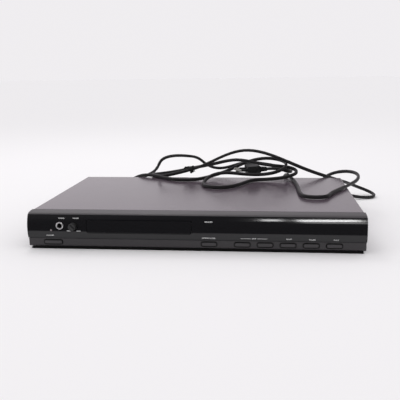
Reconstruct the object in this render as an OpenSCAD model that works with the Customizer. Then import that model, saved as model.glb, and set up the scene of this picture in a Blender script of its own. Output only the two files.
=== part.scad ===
// Slim disc player with a motor-driven tray, as separate pieces, in millimetres.
// +X is to the right of someone facing the player, +Y runs to its back, +Z is up.
// The origin is on the table, under the middle of the player with its sockets and knob.

/* [Overall] */
// Width of the front panel
body_w = 430; // [380:1:440]
// Depth from the face to the back edge of the cover
body_d = 275; // [262:1:330]
// Height of the cover above the table
body_h = 48.4; // [48:0.1:60]
// Height of the feet under the chassis
foot_h = 4.2; // [3.8:0.1:4.6]
// Radius of a foot
foot_r = 13; // [8:0.5:15]
// Distance from a foot's centre to the side of the front panel
foot_inset = 38; // [30:1:60]

/* [Sheet metal] */
// Thickness of the cover, chassis and rear panel
sheet_t = 0.8; // [0.6:0.1:1]
// Step from the side of the front panel in to the cover
cover_step = 1.5; // [1.5:0.1:4]
// Depth of the front panel's top strip, from the face to the cover
cover_front = 22; // [20:0.5:26]
// Radius of the cover's long bends
bend_r = 1.6; // [1:0.1:3]
// Height of the cover's rear flange
cover_flange = 7; // [6.6:0.1:9]
// Height of the chassis side walls
pan_lip = 16; // [14:0.5:18]
// Distance from the face to the chassis front wall
pan_front = 18; // [18:0.5:20]
// Height of the chassis front wall
pan_front_h = 3; // [2:0.1:3.5]
// Length of a ventilation slot
vent_l = 26; // [10:1:40]
// Width of a ventilation slot
vent_w = 3; // [2:0.1:4]
// Radius of the cover screws' heads
screw_head_r = 2.9; // [2.5:0.1:3.2]
// Radius of the cover screws' threads
screw_r = 1.5; // [1.2:0.05:1.6]

/* [Front panel] */
// Radius of the bowed face, seen from the side
face_r = 38.5; // [34:0.5:60]
// Height at which the face stands furthest forward
face_z = 27; // [25:0.5:30]
// Thickness of the glossy window
window_t = 2; // [1.6:0.1:2.4]
// Height of the window's lower edge
window_low = 15; // [14.6:0.1:15.6]
// Drop from the cover's top to the window's upper edge
window_drop = 3.4; // [3:0.1:4]
// Groove between the window and the lower band
groove = 0.8; // [0.4:0.1:1.2]
// Wall of the front panel moulding
bezel_wall = 2.2; // [1.8:0.1:2.4]
// Distance from the face back to the lower band
band_back = 3.3; // [3:0.1:3.8]
// Height of the lower band's bottom edge above the table
band_low = 3.3; // [3:0.1:3.6]
// Radius of the lower band's bottom corner
band_r = 2.5; // [1:0.1:3]

/* [Buttons] */
// Width of a key on the lower band
key_w = 19.4; // [14:0.1:22]
// Height of a key
key_h = 5.4; // [4:0.1:5.8]
// Spacing of the keys in the right-hand row
key_pitch = 28.45; // [26:0.05:30]
// Middle of the skip-back key
key_x = 62.2; // [60:0.1:70]
// Middle of the open and close key
open_x = 20.3; // [18:0.1:24]
// Width of the power key
power_w = 24; // [20:0.1:26]
// Distance from the panel's left end to the power key
power_inset = 32.9; // [31:0.1:37]
// Gap round a key
key_gap = 0.35; // [0.3:0.05:0.4]
// How far a key stands out of the band
key_proud = 0.6; // [0.3:0.1:1]
// Travel of a key
key_travel = 0.8; // [0.5:0.1:1]

/* [Knob and socket] */
// Distance from the panel's left end to the volume knob
knob_inset = 60.8; // [59:0.1:63]
// Height of the knob's axis
knob_z = 31; // [30:0.1:32]
// Radius of the knob
knob_r = 5; // [4.4:0.1:5.4]
// How far the knob stands out of the face
knob_out = 8.5; // [6:0.1:12]
// Radius of the volume control's spindle
spindle_r = 3; // [2.5:0.1:3.2]
// Distance from the panel's left end to the headphone socket
jack_inset = 43.1; // [42:0.1:45]
// Height of the socket's axis
jack_z = 31.5; // [30:0.1:32]
// Radius of the socket's bore
jack_r = 3.2; // [3.15:0.05:3.25]
// Radius of the bright ring round the socket
ring_r = 4.9; // [4.6:0.1:5.4]
// Distance from the panel's left end to the standby lamp
led_inset = 31.5; // [29:0.1:33]
// Height of the standby lamp
led_z = 25.5; // [24:0.1:27]
// Radius of the standby lamp
led_r = 1.5; // [1:0.1:1.8]

/* [Tray] */
// Middle of the disc tray across the player
tray_x = -69; // [-70:0.5:-68]
// Width of the tray door
door_w = 135; // [134.4:0.1:137]
// Height of the tray door
door_h = 16.4; // [16:0.1:16.8]
// Gap round the tray door
door_gap = 0.5; // [0.4:0.05:0.6]
// Width of the disc tray
tray_w = 129; // [128.6:0.1:129.6]
// Length of the disc tray
tray_l = 165; // [160:1:168]
// Height of the disc tray
tray_h = 7; // [6.8:0.1:7.2]
// Height of the tray's underside above the table
tray_z = 24.6; // [24.4:0.1:24.8]
// Travel of the tray
tray_travel = 135; // [110:1:138]
// Radius of the disc that the tray takes
disc_r = 60; // [58:0.1:60]
// Depth of the disc recess
recess_d = 3.4; // [3:0.1:3.8]
// Radius of the opening for the turntable
hub_hole_r = 19; // [18:0.1:20]
// Distance from the face to the spindle
spindle_d = 78; // [77:0.5:80]

/* [Loader] */
// Height of the loader floor above the table
loader_z = 9; // [8.6:0.1:9.2]
// Thickness of the loader's walls
loader_wall = 2.4; // [2:0.1:3]
// Height of the clamp bridge above the table
bridge_z = 36; // [35.8:0.1:37]
// Module of the tray rack and its gear
rack_mod = 1; // [0.98:0.01:1.02]
// Teeth on the rack gear
rack_teeth = 18; // [18:1:18]
// Module of the reduction gears
red_mod = 0.8; // [0.78:0.01:0.82]
// Teeth on the big reduction wheel
wheel_teeth = 44; // [42:1:44]
// Teeth on the reduction pinion
pinion_teeth = 12; // [12:1:12]
// Radius of the belt pulley
pulley_r = 11; // [9:0.5:11]
// Radius of the motor pulley
motor_pulley_r = 3; // [2.5:0.1:4]
// Radius of the loading motor
load_motor_r = 12.2; // [10:0.1:12.4]
// Angle by which the traverse tilts down
tilt = 4; // [3:0.1:4]

/* [Traverse] */
// Distance from the face to the traverse pivot
pivot_d = 168; // [166:0.5:170]
// Radius of the traverse pivot pins
pivot_r = 2; // [1.5:0.1:2.4]
// Radius of the turntable
table_r = 14.5; // [13:0.1:15.5]
// Radius of the turntable's centring cone
cone_r = 7.4; // [7:0.1:7.45]
// Radius of the spindle motor
motor_r = 12.2; // [11:0.1:12.4]
// Radius of the pickup's guide rods
rod_r = 1.5; // [1.2:0.1:1.8]
// Distance of the guide rods from the middle of the tray
rod_x = 26; // [25.5:0.1:26.2]
// Travel of the pickup
pickup_travel = 35; // [30:0.5:35]
// Module of the feed gears
feed_mod = 0.6; // [0.58:0.01:0.62]
// Teeth on the feed wheel
feed_wheel_teeth = 40; // [38:1:40]
// Teeth on the feed pinion
feed_pinion_teeth = 16; // [16:1:16]
// Teeth on the feed motor's pinion
feed_motor_teeth = 10; // [10:1:10]
// Radius of the clamp's flange
clamp_r = 16; // [15:0.1:18]

/* [Rear panel] */
// How far the phono sockets stand out behind the cover
phono_out = 7; // [5:0.1:9]
// Radius of a phono socket's ring
phono_r = 4.15; // [4:0.05:4.2]
// Spacing of the phono sockets
phono_pitch = 14; // [13:0.1:16]
// Middle of the SCART socket across the player
scart_x = 82; // [78:1:90]
// Width of the SCART socket's shell
scart_w = 47.4; // [46:0.1:50]
// Height of the SCART socket's shell
scart_h = 15.8; // [15:0.1:17]
// Middle of the mains lead's bush across the player
bush_x = 172; // [165:1:180]
// Height of the mains lead's bush
bush_z = 24; // [20:0.5:28]
// Length of the strain relief behind the panel
relief_l = 32; // [20:1:50]

/* [Mains lead] */
// Width of the flat lead
lead_w = 5.4; // [5:0.1:5.6]
// Thickness of the flat lead
lead_t = 3.4; // [3:0.1:3.6]
// Spacing of the plug's pins
plug_pitch = 18.6; // [18.2:0.1:19]
// Radius of a plug pin
plug_pin_r = 2; // [1.9:0.05:2]
// Length of a plug pin
plug_pin_l = 19; // [18:0.5:20]

/* [Hidden] */
$fn = 48;

// Places along the depth are counted back from the face
front_y = (knob_out - body_d - phono_out) / 2;
back_y = front_y + body_d;
slip = 0.05;
clear = 0.4;

// Sheet metal
cover_w = body_w - 2 * cover_step;
pan_w = cover_w - 2 * sheet_t - 2 * clear;
pan_top = foot_h + sheet_t;
cover_low = foot_h + clear;
cover_in = body_h - sheet_t;
panel_y = back_y - 2 * sheet_t;
side_screw_z = foot_h + pan_lip / 2;
side_screw_y = [front_y + 60, back_y - 50];
back_screw_x = [22.3 - pan_w / 2, -120, 0, 130, pan_w / 2 - 12.3];
back_screw_z = body_h - cover_flange / 2;
screw_head_h = 1.3;
screw_l = 6;
foot_x = body_w / 2 - foot_inset;
foot_y = [front_y + 42, back_y - 36];
foot_stem_r = 3;
foot_lip = 1.2;
vent_pitch = 7;
rear_vent_x = 66;
rear_slot_z = [14, 36];

// Front panel
power_x = power_inset - body_w / 2;
knob_x = knob_inset - body_w / 2;
jack_x = jack_inset - body_w / 2;
led_x = led_inset - body_w / 2;
window_top = body_h - window_drop;
band_top = window_low - groove;
seat_r = face_r - window_t - slip;
bezel_w = body_w - 2 * clear;
strip_back = cover_front + 6;
strip_edge = cover_front - clear;
strip_fall = 1.9;
strip_nose_d = 4.8;
bezel_floor_end = pan_front - clear;
key_z = (band_low + band_top) / 2 + 0.6;
key_wall_end = band_back + bezel_wall;
row_keys = ["skip_back", "skip_forward", "stop", "pause", "play"];
board_d = 15.2;
board_t = 1.6;
switch_d = 3.5;
stem_l = 1.4;
stem_r = 1.7;
board_low = 6.4;
board_high = body_h - 6.4;
left_board_x = [7 - body_w / 2, knob_x + 11.2];
right_board_x = [7, body_w / 2 - 9];
display_x = [30, 112];
display_z = [25, 37];
sensor_x = 20.1;
sensor_z = 31;
sensor_s = 8;

// Tray and its door
door_low = 22.6;
tray_d = 7;
tray_top = tray_z + tray_h;
recess_r = disc_r + 0.9;
small_recess_r = 40.9;
small_recess_d = 0.8;
recess_z = tray_top - recess_d;
travel_gap = 0.4;

// Loader
loader_d0 = 8.4;
loader_d1 = pivot_d + 18;
floor_t = 2;
floor_top = loader_z + floor_t;
loader_in = tray_w / 2 + clear;
loader_out = loader_in + loader_wall;
rail_w = 2.4;
rail_t = 1.6;
rail_end_d = 130;
well_x0 = -46;
well_x1 = 60;
well_d0 = 49;
well_d1 = pivot_d + 8;

// Gears of the loader
mesh_gap = 0.08;
rack_r = rack_mod * rack_teeth / 2;
wheel_r = red_mod * wheel_teeth / 2;
pinion_r = red_mod * pinion_teeth / 2;
rack_x = -52;
gear_x = rack_x + rack_r + mesh_gap;
gear_d = 30;
pulley_x = gear_x + wheel_r + pinion_r + mesh_gap;
motor_x = pulley_x + 34;
axle_r = 1.5;
wheel_z = floor_top + 1.2;
wheel_h = 3.6;
rack_gear_z = wheel_z + wheel_h;
rack_z = door_low - 0.1;
rack_gear_top = tray_z - clear;
belt_z = 21.1;
belt_r = 0.75;
pulley_h = 3.2;
motor_low = 8.3;
motor_h = 10.2;

// Cam slide and traverse
tilt_y = front_y + pivot_d;
cam_d = 49.4;
cam_t = 2;
cam_travel = 20;
cam_pin_z = 19.5;
cam_pin_x = [-10, 26];
cam_pin_r = 1.5;
cam_drop = (pivot_d - cam_d - cam_t / 2) * sin(tilt);
cam_x0 = -36;
cam_x1 = 34;
cam_z0 = 8;
cam_z1 = 22.6;
trav_x0 = -43;
trav_x1 = 57;
trav_d0 = 54;
trav_d1 = pivot_d + 4;
trav_z = 16;
trav_t = 2.4;
trav_top = trav_z + trav_t;
trav_rim = 2.6;
pivot_z = 17.2;
lug_t = 2.6;
table_z = 30.2;
table_h = 3;
cone_h = 2.3;
motor_z = 13.5;
rod_z = 20.5;
bay_x0 = -31;
bay_x1 = 33;
bay_d0 = 91.5;
bay_d1 = 156.7;
rod_block = 3.6;
pickup_d0 = 92;
pickup_l = 28;
pickup_w = 40;
pickup_z = 17;
pickup_h = 6.6;
lens_d = spindle_d + 23.5;
lens_r = 2.2;
lens_z = 28.4;
feed_rack_x = 31.4;
feed_rack_d = [86, 134];
feed_wheel_r = feed_mod * feed_wheel_teeth / 2;
feed_pinion_r = feed_mod * feed_pinion_teeth / 2;
feed_motor_r = feed_mod * feed_motor_teeth / 2;
feed_x = feed_rack_x + feed_pinion_r + mesh_gap;
feed_d = 127;
feed_turn = -35;
feed_reach = feed_wheel_r + feed_motor_r + mesh_gap;
feed_wheel_z = 13.2;
feed_wheel_h = 2.2;
feed_hub_r = 2.4;
feed_can_r = 6;
feed_can_h = 5.4;

// Boards
main_z = 12;
supply_x = [pan_w / 2 - 80.3, pan_w / 2 - 8.3];
supply_d = [78, body_d - 23];
supply_l = supply_d[1] - supply_d[0];
supply_posts = [for (x = [supply_x[0] + 6, supply_x[1] - 6], d = [supply_d[0] + 8, supply_d[1] - 8]) [x, d]];
main_front = loader_d1 + 10;
main_back = body_d - 16;
main_end = supply_x[0] - 10;
main_pts = [[-132, main_front], [10, main_front], [10, 120], [main_end, 120], [main_end, main_back],
    [-132, main_back]];
main_posts = [[-124, main_front + 8], [-60, main_back - 5], [20, 130], [main_end - 8, 130],
    [main_end - 8, main_back - 19]];
loader_posts = [[-57, 60], [58, 24], [-58, loader_d1 - 6], [58, loader_d1 - 6]];
post_r = 3.2;
post_hole_r = 1.2;

// Rear sockets
phono_audio_x = -104;
phono_video_x = -44;
phono_z = [17, 31];
phono_hole_r = 1.6;
collar_r = 5;
svideo_x = -2;
svideo_z = 24;
svideo_r = 6.2;
optical_x = 27;
optical_z = 24;
optical_w = 10;
scart_z = 24;
scart_deep = 11;
scart_wall = 0.8;
socket_deep = 14;
bush_w = 9.5;
bush_h = 7;

// Route of the lead, counted back from the face: out of the strain relief and up to the cover
lead_up = [[172, 324, 24], [161, 346, 18], [145, 351, 15], [129, 343, 17.5], [120, 317, 31],
    [124, 287, 51.5], [132, 251, 52], [137, 208, 51.5]];
// Narrow loop on the right of the cover, then the one that hangs to the table behind it
lead_right = [[139, 155, 51.5], [141, 119, 51.5], [146, 105, 51.5], [159, 99, 51.5], [173, 104, 51.5],
    [180, 119, 51.5], [192, 147, 51.5], [207, 176, 51.5], [221, 203, 52], [235, 234, 54.5], [235, 270, 58],
    [212, 297, 55], [190, 319, 39.5], [191, 332, 28.5], [211, 343, 15], [247, 338, 5], [263, 338, 3.5],
    [276, 344, 3], [282, 355, 3.5], [281, 368, 5], [272, 378, 8.5], [258, 378, 14], [243, 363, 22],
    [216, 318, 37], [194, 288, 48]];
// High arc over the back edge, the fold at its left and the strand back to the right
lead_arc = [[161, 275, 61], [127, 272, 75.5], [91, 271, 89.5], [55, 271, 94.5], [18, 271, 84],
    [-10, 270, 71], [-32, 269, 63], [-58, 268, 56.5], [-86, 271, 51.5], [-100, 283, 51], [-101, 299, 49.5],
    [-88, 313, 49], [-60, 312, 53.5], [-26, 297, 62.5], [8, 282, 71.5], [42, 280, 77.5], [82, 283, 70.5],
    [119, 280, 66.5], [132, 275, 65], [140, 263, 62], [138, 250, 59.5], [126, 240, 56.5], [103, 238, 53]];
// Front loop, the thin loop at the left and the strand to the plug
lead_heap = [[72, 232, 51.5], [58, 210, 51.5], [46, 187, 51.5], [32, 172, 51.5], [15, 169, 51.5],
    [0, 180, 51.5], [-6, 197, 51.5], [-4, 216, 54.5], [5, 232, 59], [21, 239, 62], [46, 237, 61.5],
    [80, 236, 60], [112, 249, 64], [124, 272, 70.5], [117, 293, 74.5], [92, 303, 77], [58, 294, 71.5],
    [33, 269, 63.5], [2, 249, 55], [-32, 233, 51.5], [-56, 237, 51.5], [-85, 261, 51.5], [-117, 279, 51],
    [-140, 301, 40], [-141, 317, 37], [-133, 330, 38], [-119, 332, 43], [-106, 323, 51], [-97, 313, 62],
    [-89, 307, 73.5], [-70, 306, 80.5], [-45, 307, 80.5], [-25, 308, 76], [-12, 307, 66.5], [2, 306, 60.5],
    [22, 306, 60.5], [54, 306, 69], [92, 309, 66], [114, 309, 61.5], [127, 302, 58.5], [133, 290, 57.5],
    [129, 277, 58.5], [117, 270, 62.5]];
plug_at = [92, 264, 65];
plug_turn = 12;
plug_lead_in = 12;
tie_ring = 40;
LEAD = [for (p = concat([[bush_x, body_d - sheet_t + relief_l, bush_z]], lead_up, lead_right, lead_arc, lead_heap,
    [plug_at + plug_lead_in * [cos(plug_turn), sin(plug_turn), 0], plug_at])) p + [0, front_y, 0]];

module block(lo, hi) {
    translate(lo)
        cube([hi[0] - lo[0], hi[1] - lo[1], hi[2] - lo[2]]);
}

module post(x, y, z, r, h) {
    translate([x, y, z])
        cylinder(r = r, h = h);
}

module lying_post(x, y, z, r, l) {
    translate([x, y, z])
        rotate([-90, 0, 0])
            cylinder(r = r, h = l);
}

module cross_post(x, y, z, r, l) {
    translate([x, y, z])
        rotate([0, 90, 0])
            cylinder(r = r, h = l);
}

// Moves what stands in the loader's own places: middle of the tray, depth from the face
module at_loader() {
    translate([tray_x, front_y, 0])
        children();
}

// Draws a side profile, depth against height, across the whole width
module across(w) {
    translate([-w / 2, front_y, 0])
        rotate([90, 0, 90])
            linear_extrude(w)
                children();
}

// Cuts or raises a front view, width against height, between two depths from the face
module facing(x, z, d0, d1) {
    translate([x, front_y + d1, z])
        rotate([90, 0, 0])
            linear_extrude(d1 - d0)
                children();
}

function arc(cx, cy, r, a0, a1, n) =
    [for (i = [0 : n]) let (a = a0 + (a1 - a0) * i / n) [cx + r * cos(a), cy + r * sin(a)]];

// Depth of a cylinder of radius r about the face's axis, at height z
function face_dep(z, r) = face_r - sqrt(r * r - (z - face_z) * (z - face_z));

function face_line(r, z0, z1, n) =
    [for (i = [0 : n]) let (z = z0 + (z1 - z0) * i / n) [face_dep(z, r), z]];

// Rectangle about its middle, with rounded corners: low and high radius on each side
function round_box(w, h, rl, rh) = concat(
    arc(w / 2 - rl, -h / 2 + rl, rl, -90, 0, 5), arc(w / 2 - rh, h / 2 - rh, rh, 0, 90, 5),
    arc(-w / 2 + rh, h / 2 - rh, rh, 90, 180, 5), arc(-w / 2 + rl, -h / 2 + rl, rl, 180, 270, 5));

// Gears with involute flanks, thinned a little for backlash
pressure = 20;
backlash = 0.06;
function inv(a) = tan(a) * 180 / PI - a;
function flank(r, rr, teeth) =
    let (base = r * cos(pressure), at = rr > base ? acos(base / rr) : 0)
    90 / teeth * (1 - backlash) + inv(pressure) - inv(at);
function tooth_radii(m, teeth) =
    let (r = m * teeth / 2) [r - 1.15 * m, max(r * cos(pressure), r - 0.9 * m), r, r + 0.5 * m, r + 0.9 * m];
function gear_points(m, teeth) =
    let (r = m * teeth / 2, radii = tooth_radii(m, teeth), n = len(radii))
    [for (i = [0 : teeth - 1]) for (k = [0 : 2 * n - 1])
        let (j = k < n ? k : 2 * n - 1 - k, side = k < n ? -1 : 1, rr = radii[j],
            a = 360 / teeth * i + side * flank(r, rr, teeth)) [rr * cos(a), rr * sin(a)]];

module gear(m, teeth, h, turn = 0) {
    rotate(turn)
        linear_extrude(h)
            polygon(gear_points(m, teeth));
}

// Rack along Y: pitch line at x = 0, teeth towards +X, a space at y = 0
module rack(m, y0, y1, back, h) {
    pitch = PI * m;
    half = pitch / 4 * (1 - backlash);
    lean = tan(pressure);
    root = -1.15 * m;
    tip = 0.9 * m;
    first = ceil((y0 + half) / pitch - 0.5) + 0.5;
    last = floor((y1 - half) / pitch - 0.5) + 0.5;
    teeth = [for (k = [first : 1 : last]) for (p = [[root, -1], [tip, -1], [tip, 1], [root, 1]])
        [p[0], k * pitch + p[1] * (half - p[0] * lean)]];
    linear_extrude(h)
        polygon(concat([[-back, y0], [root, y0]], teeth, [[root, y1], [-back, y1]]));
}

// Sheet metal casing

function arch(w, top, low, r) = concat([[w / 2, low]], arc(w / 2 - r, top - r, r, 0, 90, 5),
    arc(-w / 2 + r, top - r, r, 90, 180, 5), [[-w / 2, low]]);

module side_screw_holes(r) {
    for (y = side_screw_y)
        cross_post(-body_w / 2, y, side_screw_z, r, body_w);
}

module back_screw_holes(r) {
    for (x = back_screw_x)
        lying_post(x, back_y - screw_l, back_screw_z, r, 2 * screw_l);
}

module top_cover() {
    color([0.28, 0.27, 0.29])
    difference() {
        union() {
            difference() {
                translate([0, back_y, 0])
                    rotate([90, 0, 0])
                        linear_extrude(body_d - cover_front)
                            polygon(arch(cover_w, body_h, cover_low, bend_r));
                translate([0, back_y + 1, 0])
                    rotate([90, 0, 0])
                        linear_extrude(body_d)
                            polygon(arch(cover_w - 2 * sheet_t, cover_in, 0, max(bend_r - sheet_t, 0.2)));
            }
            block([-cover_w / 2 + 2 * bend_r, back_y - sheet_t, body_h - cover_flange],
                [cover_w / 2 - 2 * bend_r, back_y, body_h - sheet_t / 2]);
        }
        side_screw_holes(screw_r + slip);
        back_screw_holes(screw_r + slip);
    }
}

module vents(x, y, n) {
    for (i = [0 : n - 1])
        block([x - vent_l / 2, y + i * vent_pitch, foot_h - 1],
            [x + vent_l / 2, y + i * vent_pitch + vent_w, pan_top + 1]);
}

module chassis_pan() {
    color([0.62, 0.63, 0.64])
    difference() {
        union() {
            block([-pan_w / 2, front_y + pan_front, foot_h], [pan_w / 2, back_y - sheet_t, pan_top]);
            block([-pan_w / 2, front_y + pan_front, foot_h],
                [pan_w / 2, front_y + pan_front + sheet_t, pan_top + pan_front_h]);
            for (side = [0, 1])
                mirror([side, 0, 0])
                    block([pan_w / 2 - sheet_t, front_y + pan_front, foot_h],
                        [pan_w / 2, panel_y, foot_h + pan_lip]);
            for (p = loader_posts)
                post(tray_x + p[0], front_y + p[1], foot_h, post_r, loader_z - foot_h);
            for (p = concat(main_posts, supply_posts))
                post(p[0], front_y + p[1], foot_h, post_r, main_z - foot_h);
        }
        for (p = loader_posts)
            post(tray_x + p[0], front_y + p[1], foot_h - 1, post_hole_r, body_h);
        for (p = concat(main_posts, supply_posts))
            post(p[0], front_y + p[1], foot_h - 1, post_hole_r, body_h);
        for (x = [-foot_x, foot_x], y = foot_y)
            post(x, y, foot_h - 1, foot_stem_r + slip, body_h);
        vents((supply_x[0] + supply_x[1]) / 2, front_y + 110, 12);
        vents(rear_vent_x, front_y + 150, 10);
        side_screw_holes(screw_r + slip);
    }
}

module rear_panel() {
    color([0.16, 0.16, 0.17])
    difference() {
        block([-pan_w / 2 + sheet_t, panel_y, pan_top], [pan_w / 2 - sheet_t, back_y - sheet_t, cover_in - clear / 2]);
        for (i = [0 : 2], z = phono_z)
            lying_post(phono_audio_x + i * phono_pitch, panel_y - 1, z, collar_r + slip, 4 * sheet_t);
        for (i = [0 : 2], z = phono_z)
            lying_post(phono_video_x + i * phono_pitch, panel_y - 1, z, collar_r + slip, 4 * sheet_t);
        lying_post(svideo_x, panel_y - 1, svideo_z, svideo_r + slip, 4 * sheet_t);
        block([optical_x - optical_w / 2 - slip, panel_y - 1, optical_z - optical_w / 2 - slip],
            [optical_x + optical_w / 2 + slip, back_y + 1, optical_z + optical_w / 2 + slip]);
        block([scart_x - scart_w / 2 - slip, panel_y - 1, scart_z - scart_h / 2 - slip],
            [scart_x + scart_w / 2 + slip, back_y + 1, scart_z + scart_h / 2 + slip]);
        block([bush_x - bush_w / 2, panel_y - 1, bush_z - bush_h / 2],
            [bush_x + bush_w / 2, back_y + 1, bush_z + bush_h / 2]);
        for (i = [0 : 9])
            block([16.3 - pan_w / 2 + i * vent_pitch, panel_y - 1, rear_slot_z[0]],
                [16.3 - pan_w / 2 + i * vent_pitch + vent_w, back_y + 1, rear_slot_z[1]]);
        back_screw_holes(screw_r + slip);
    }
}

module foot() {
    stem = foot_stem_r - slip;
    rotate_extrude()
        polygon([[0, 0], [foot_r - 1.2, 0], [foot_r, 1.2], [foot_r - 0.6, foot_h], [stem, foot_h],
            [stem, pan_top], [stem + foot_lip, pan_top], [stem, pan_top + foot_lip], [0, pan_top + foot_lip]]);
}

module feet() {
    color([0.12, 0.12, 0.12])
    for (x = [-foot_x, foot_x], y = foot_y)
        translate([x, y, 0])
            foot();
}

// Screw along -Z, its head above z = 0, with a cross recess
module screw(l) {
    difference() {
        union() {
            rotate_extrude()
                polygon([[0, 0], [screw_head_r, 0], [screw_head_r, 0.4 * screw_head_h],
                    [0.7 * screw_head_r, screw_head_h], [0, screw_head_h]]);
            translate([0, 0, -l])
                cylinder(r = screw_r, h = l + screw_head_h / 2);
        }
        for (a = [0, 90])
            rotate(a)
                block([-0.6 * screw_head_r, -0.35, 0.4 * screw_head_h], [0.6 * screw_head_r, 0.35, 2 * screw_head_h]);
    }
}

module cover_screws() {
    color([0.14, 0.14, 0.15]) {
        for (side = [0, 1], y = side_screw_y)
            mirror([side, 0, 0])
                translate([cover_w / 2, y, side_screw_z])
                    rotate([0, 90, 0])
                        screw(screw_l);
        for (x = back_screw_x)
            translate([x, back_y, back_screw_z])
                rotate([-90, 0, 0])
                    screw(screw_l);
    }
}

// Front panel

module door_opening(d0, d1) {
    facing(tray_x, door_low + door_h / 2, d0, d1)
        polygon(round_box(door_w + 2 * door_gap, door_h + 2 * door_gap, 3.4, 1.5));
}

// Depths at which the bosses that carry the key boards start, and their places
board_bosses = [for (x = [left_board_x[0] + 4, left_board_x[1] - 4], z = [16, board_high - 4]) [x, z],
    for (x = [12, 118, right_board_x[1] - 4], z = [16, board_high - 2]) [x, z]];
boss_r = 2.4;
boss_d = 6.2;
pot_w = 10;
bushing_r = 3.7;
barrel_r = 4.3;
ring_sink = 1.4;
knob_sink = 1.4;

module key_places(gap) {
    for (k = key_list)
        facing(k[0], key_z, -1, key_wall_end + 1)
            polygon(key_outline(k[1], gap, k[2]));
}

// Keys: middle, width, and whether the left end is nearly square
key_list = [[power_x, power_w, true], [open_x, key_w, false],
    for (i = [0 : 4]) [key_x + i * key_pitch, key_w, false]];

function key_outline(w, gap, square_left) =
    let (h = key_h + 2 * gap, ww = w + 2 * gap, r = 0.42 * h, rl = square_left ? 0.8 : r) concat(
    arc(ww / 2 - r, -h / 2 + r, r, -90, 0, 5), arc(ww / 2 - 0.6 * r, h / 2 - 0.6 * r, 0.6 * r, 0, 90, 4),
    arc(-ww / 2 + 0.6 * rl, h / 2 - 0.6 * rl, 0.6 * rl, 90, 180, 4),
    arc(-ww / 2 + rl, -h / 2 + rl, rl, 180, 270, 5));

module bezel_section() {
    lip = window_top + 0.25;
    nose_top = body_h - strip_fall;
    difference() {
        polygon(concat(
            [[strip_edge, body_h - 0.1], [14, body_h - 0.4], [9, body_h - 0.9], [6.6, body_h - 1.4],
                [5.4, nose_top - 0.1], [strip_nose_d, nose_top - 0.7], [strip_nose_d, lip]],
            face_line(seat_r, lip, band_top, 10),
            [[band_back, band_top]],
            arc(band_back + band_r, band_low + band_r, band_r, 180, 270, 4),
            [[strip_edge, band_low]]));
        polygon(concat(
            [[2 * strip_edge, cover_in - 2]],
            face_line(seat_r - bezel_wall, cover_in - 2, band_top, 10),
            [[key_wall_end, band_top - bezel_wall], [key_wall_end, band_low + bezel_wall],
                [2 * strip_edge, band_low + bezel_wall]]));
    }
}

module bezel_ends() {
    for (side = [-1, 1])
        translate([side * (bezel_w - bezel_wall) / 2, 0, 0])
            across(bezel_wall)
                polygon(concat(
                    [[strip_edge, body_h - 0.6]], face_line(seat_r - 0.4, window_top, band_top, 8),
                    [[band_back + 0.4, band_top], [band_back + 0.4, band_low + band_r],
                        [band_back + band_r, band_low + 0.2], [strip_edge, band_low + 0.2]]));
}

module front_bezel() {
    color([0.1, 0.1, 0.105])
    difference() {
        union() {
            across(bezel_w)
                bezel_section();
            bezel_ends();
            block([-pan_w / 2 + 2, front_y + strip_edge - 2, cover_in - 2],
                [pan_w / 2 - 2, front_y + cover_front + 6, cover_in - clear / 2]);
            for (p = board_bosses)
                lying_post(p[0], front_y + boss_d, p[1], boss_r, board_d - boss_d);
        }
        block([-pan_w / 2 - slip, front_y + bezel_floor_end, 0], [pan_w / 2 + slip, back_y, pan_top + 1.5]);
        key_places(key_gap);
        door_opening(-1, strip_edge);
        lying_post(jack_x, front_y - 1, jack_z, barrel_r + slip, strip_edge);
        lying_post(knob_x, front_y - 1, knob_z, bushing_r + slip, strip_edge);
        lying_post(led_x, front_y - 1, led_z, led_r + 0.1, strip_edge);
        facing((display_x[0] + display_x[1]) / 2, (display_z[0] + display_z[1]) / 2, -1, strip_edge)
            square([display_x[1] - display_x[0] - 2, display_z[1] - display_z[0] - 2], center = true);
        facing(sensor_x, sensor_z, -1, strip_edge)
            square(sensor_s, center = true);
    }
}

module face_cylinder(r, w) {
    translate([-w / 2, front_y + face_r, face_z])
        rotate([0, 90, 0])
            cylinder(r = r, h = w, $fn = 144);
}

module front_window() {
    color([0.03, 0.03, 0.035])
    difference() {
        intersection() {
            difference() {
                face_cylinder(face_r, body_w);
                face_cylinder(face_r - window_t, body_w + 2);
            }
            block([-body_w / 2, front_y - 1, window_low], [body_w / 2, front_y + 14, window_top]);
        }
        door_opening(-2, 12);
        lying_post(jack_x, front_y - 2, jack_z, barrel_r + slip, 12);
        lying_post(jack_x, front_y - 2, jack_z, ring_r + 0.1, 2 + ring_sink);
        lying_post(knob_x, front_y - 2, knob_z, bushing_r + slip, 12);
        lying_post(knob_x, front_y - 2, knob_z, knob_r + 0.6, 2 + knob_sink);
        lying_post(led_x, front_y - 2, led_z, led_r + 0.1, 12);
    }
}

module tray_door() {
    color([0.035, 0.035, 0.04]) {
        intersection() {
            difference() {
                face_cylinder(face_r, body_w);
                face_cylinder(face_r - window_t, body_w + 2);
            }
            facing(tray_x, door_low + door_h / 2, -1, 8)
                polygon(round_box(door_w, door_h, 3, 1.2));
        }
        for (x = [-46, 46])
            block([tray_x + x - 9, front_y + window_t - 0.3, tray_z + 0.6],
                [tray_x + x + 9, front_y + tray_d, tray_top - 0.4]);
    }
}

// Keys, one solid each: cap, flange behind the wall and post to the switch
module key(k) {
    color([0.11, 0.11, 0.115]) {
        facing(k[0], key_z, band_back - key_proud, key_flange_d + 1)
            polygon(key_outline(k[1], 0, k[2]));
        facing(k[0], key_z, key_flange_d, key_flange_d + 1)
            polygon(round_box(k[1] + 2.2, key_h + 1.6, 1, 1));
        lying_post(k[0], front_y + key_flange_d, key_z, stem_r, board_d - switch_d - stem_l - key_travel - 0.3
            - key_flange_d);
    }
}
key_flange_d = key_wall_end + 0.5;

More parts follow.
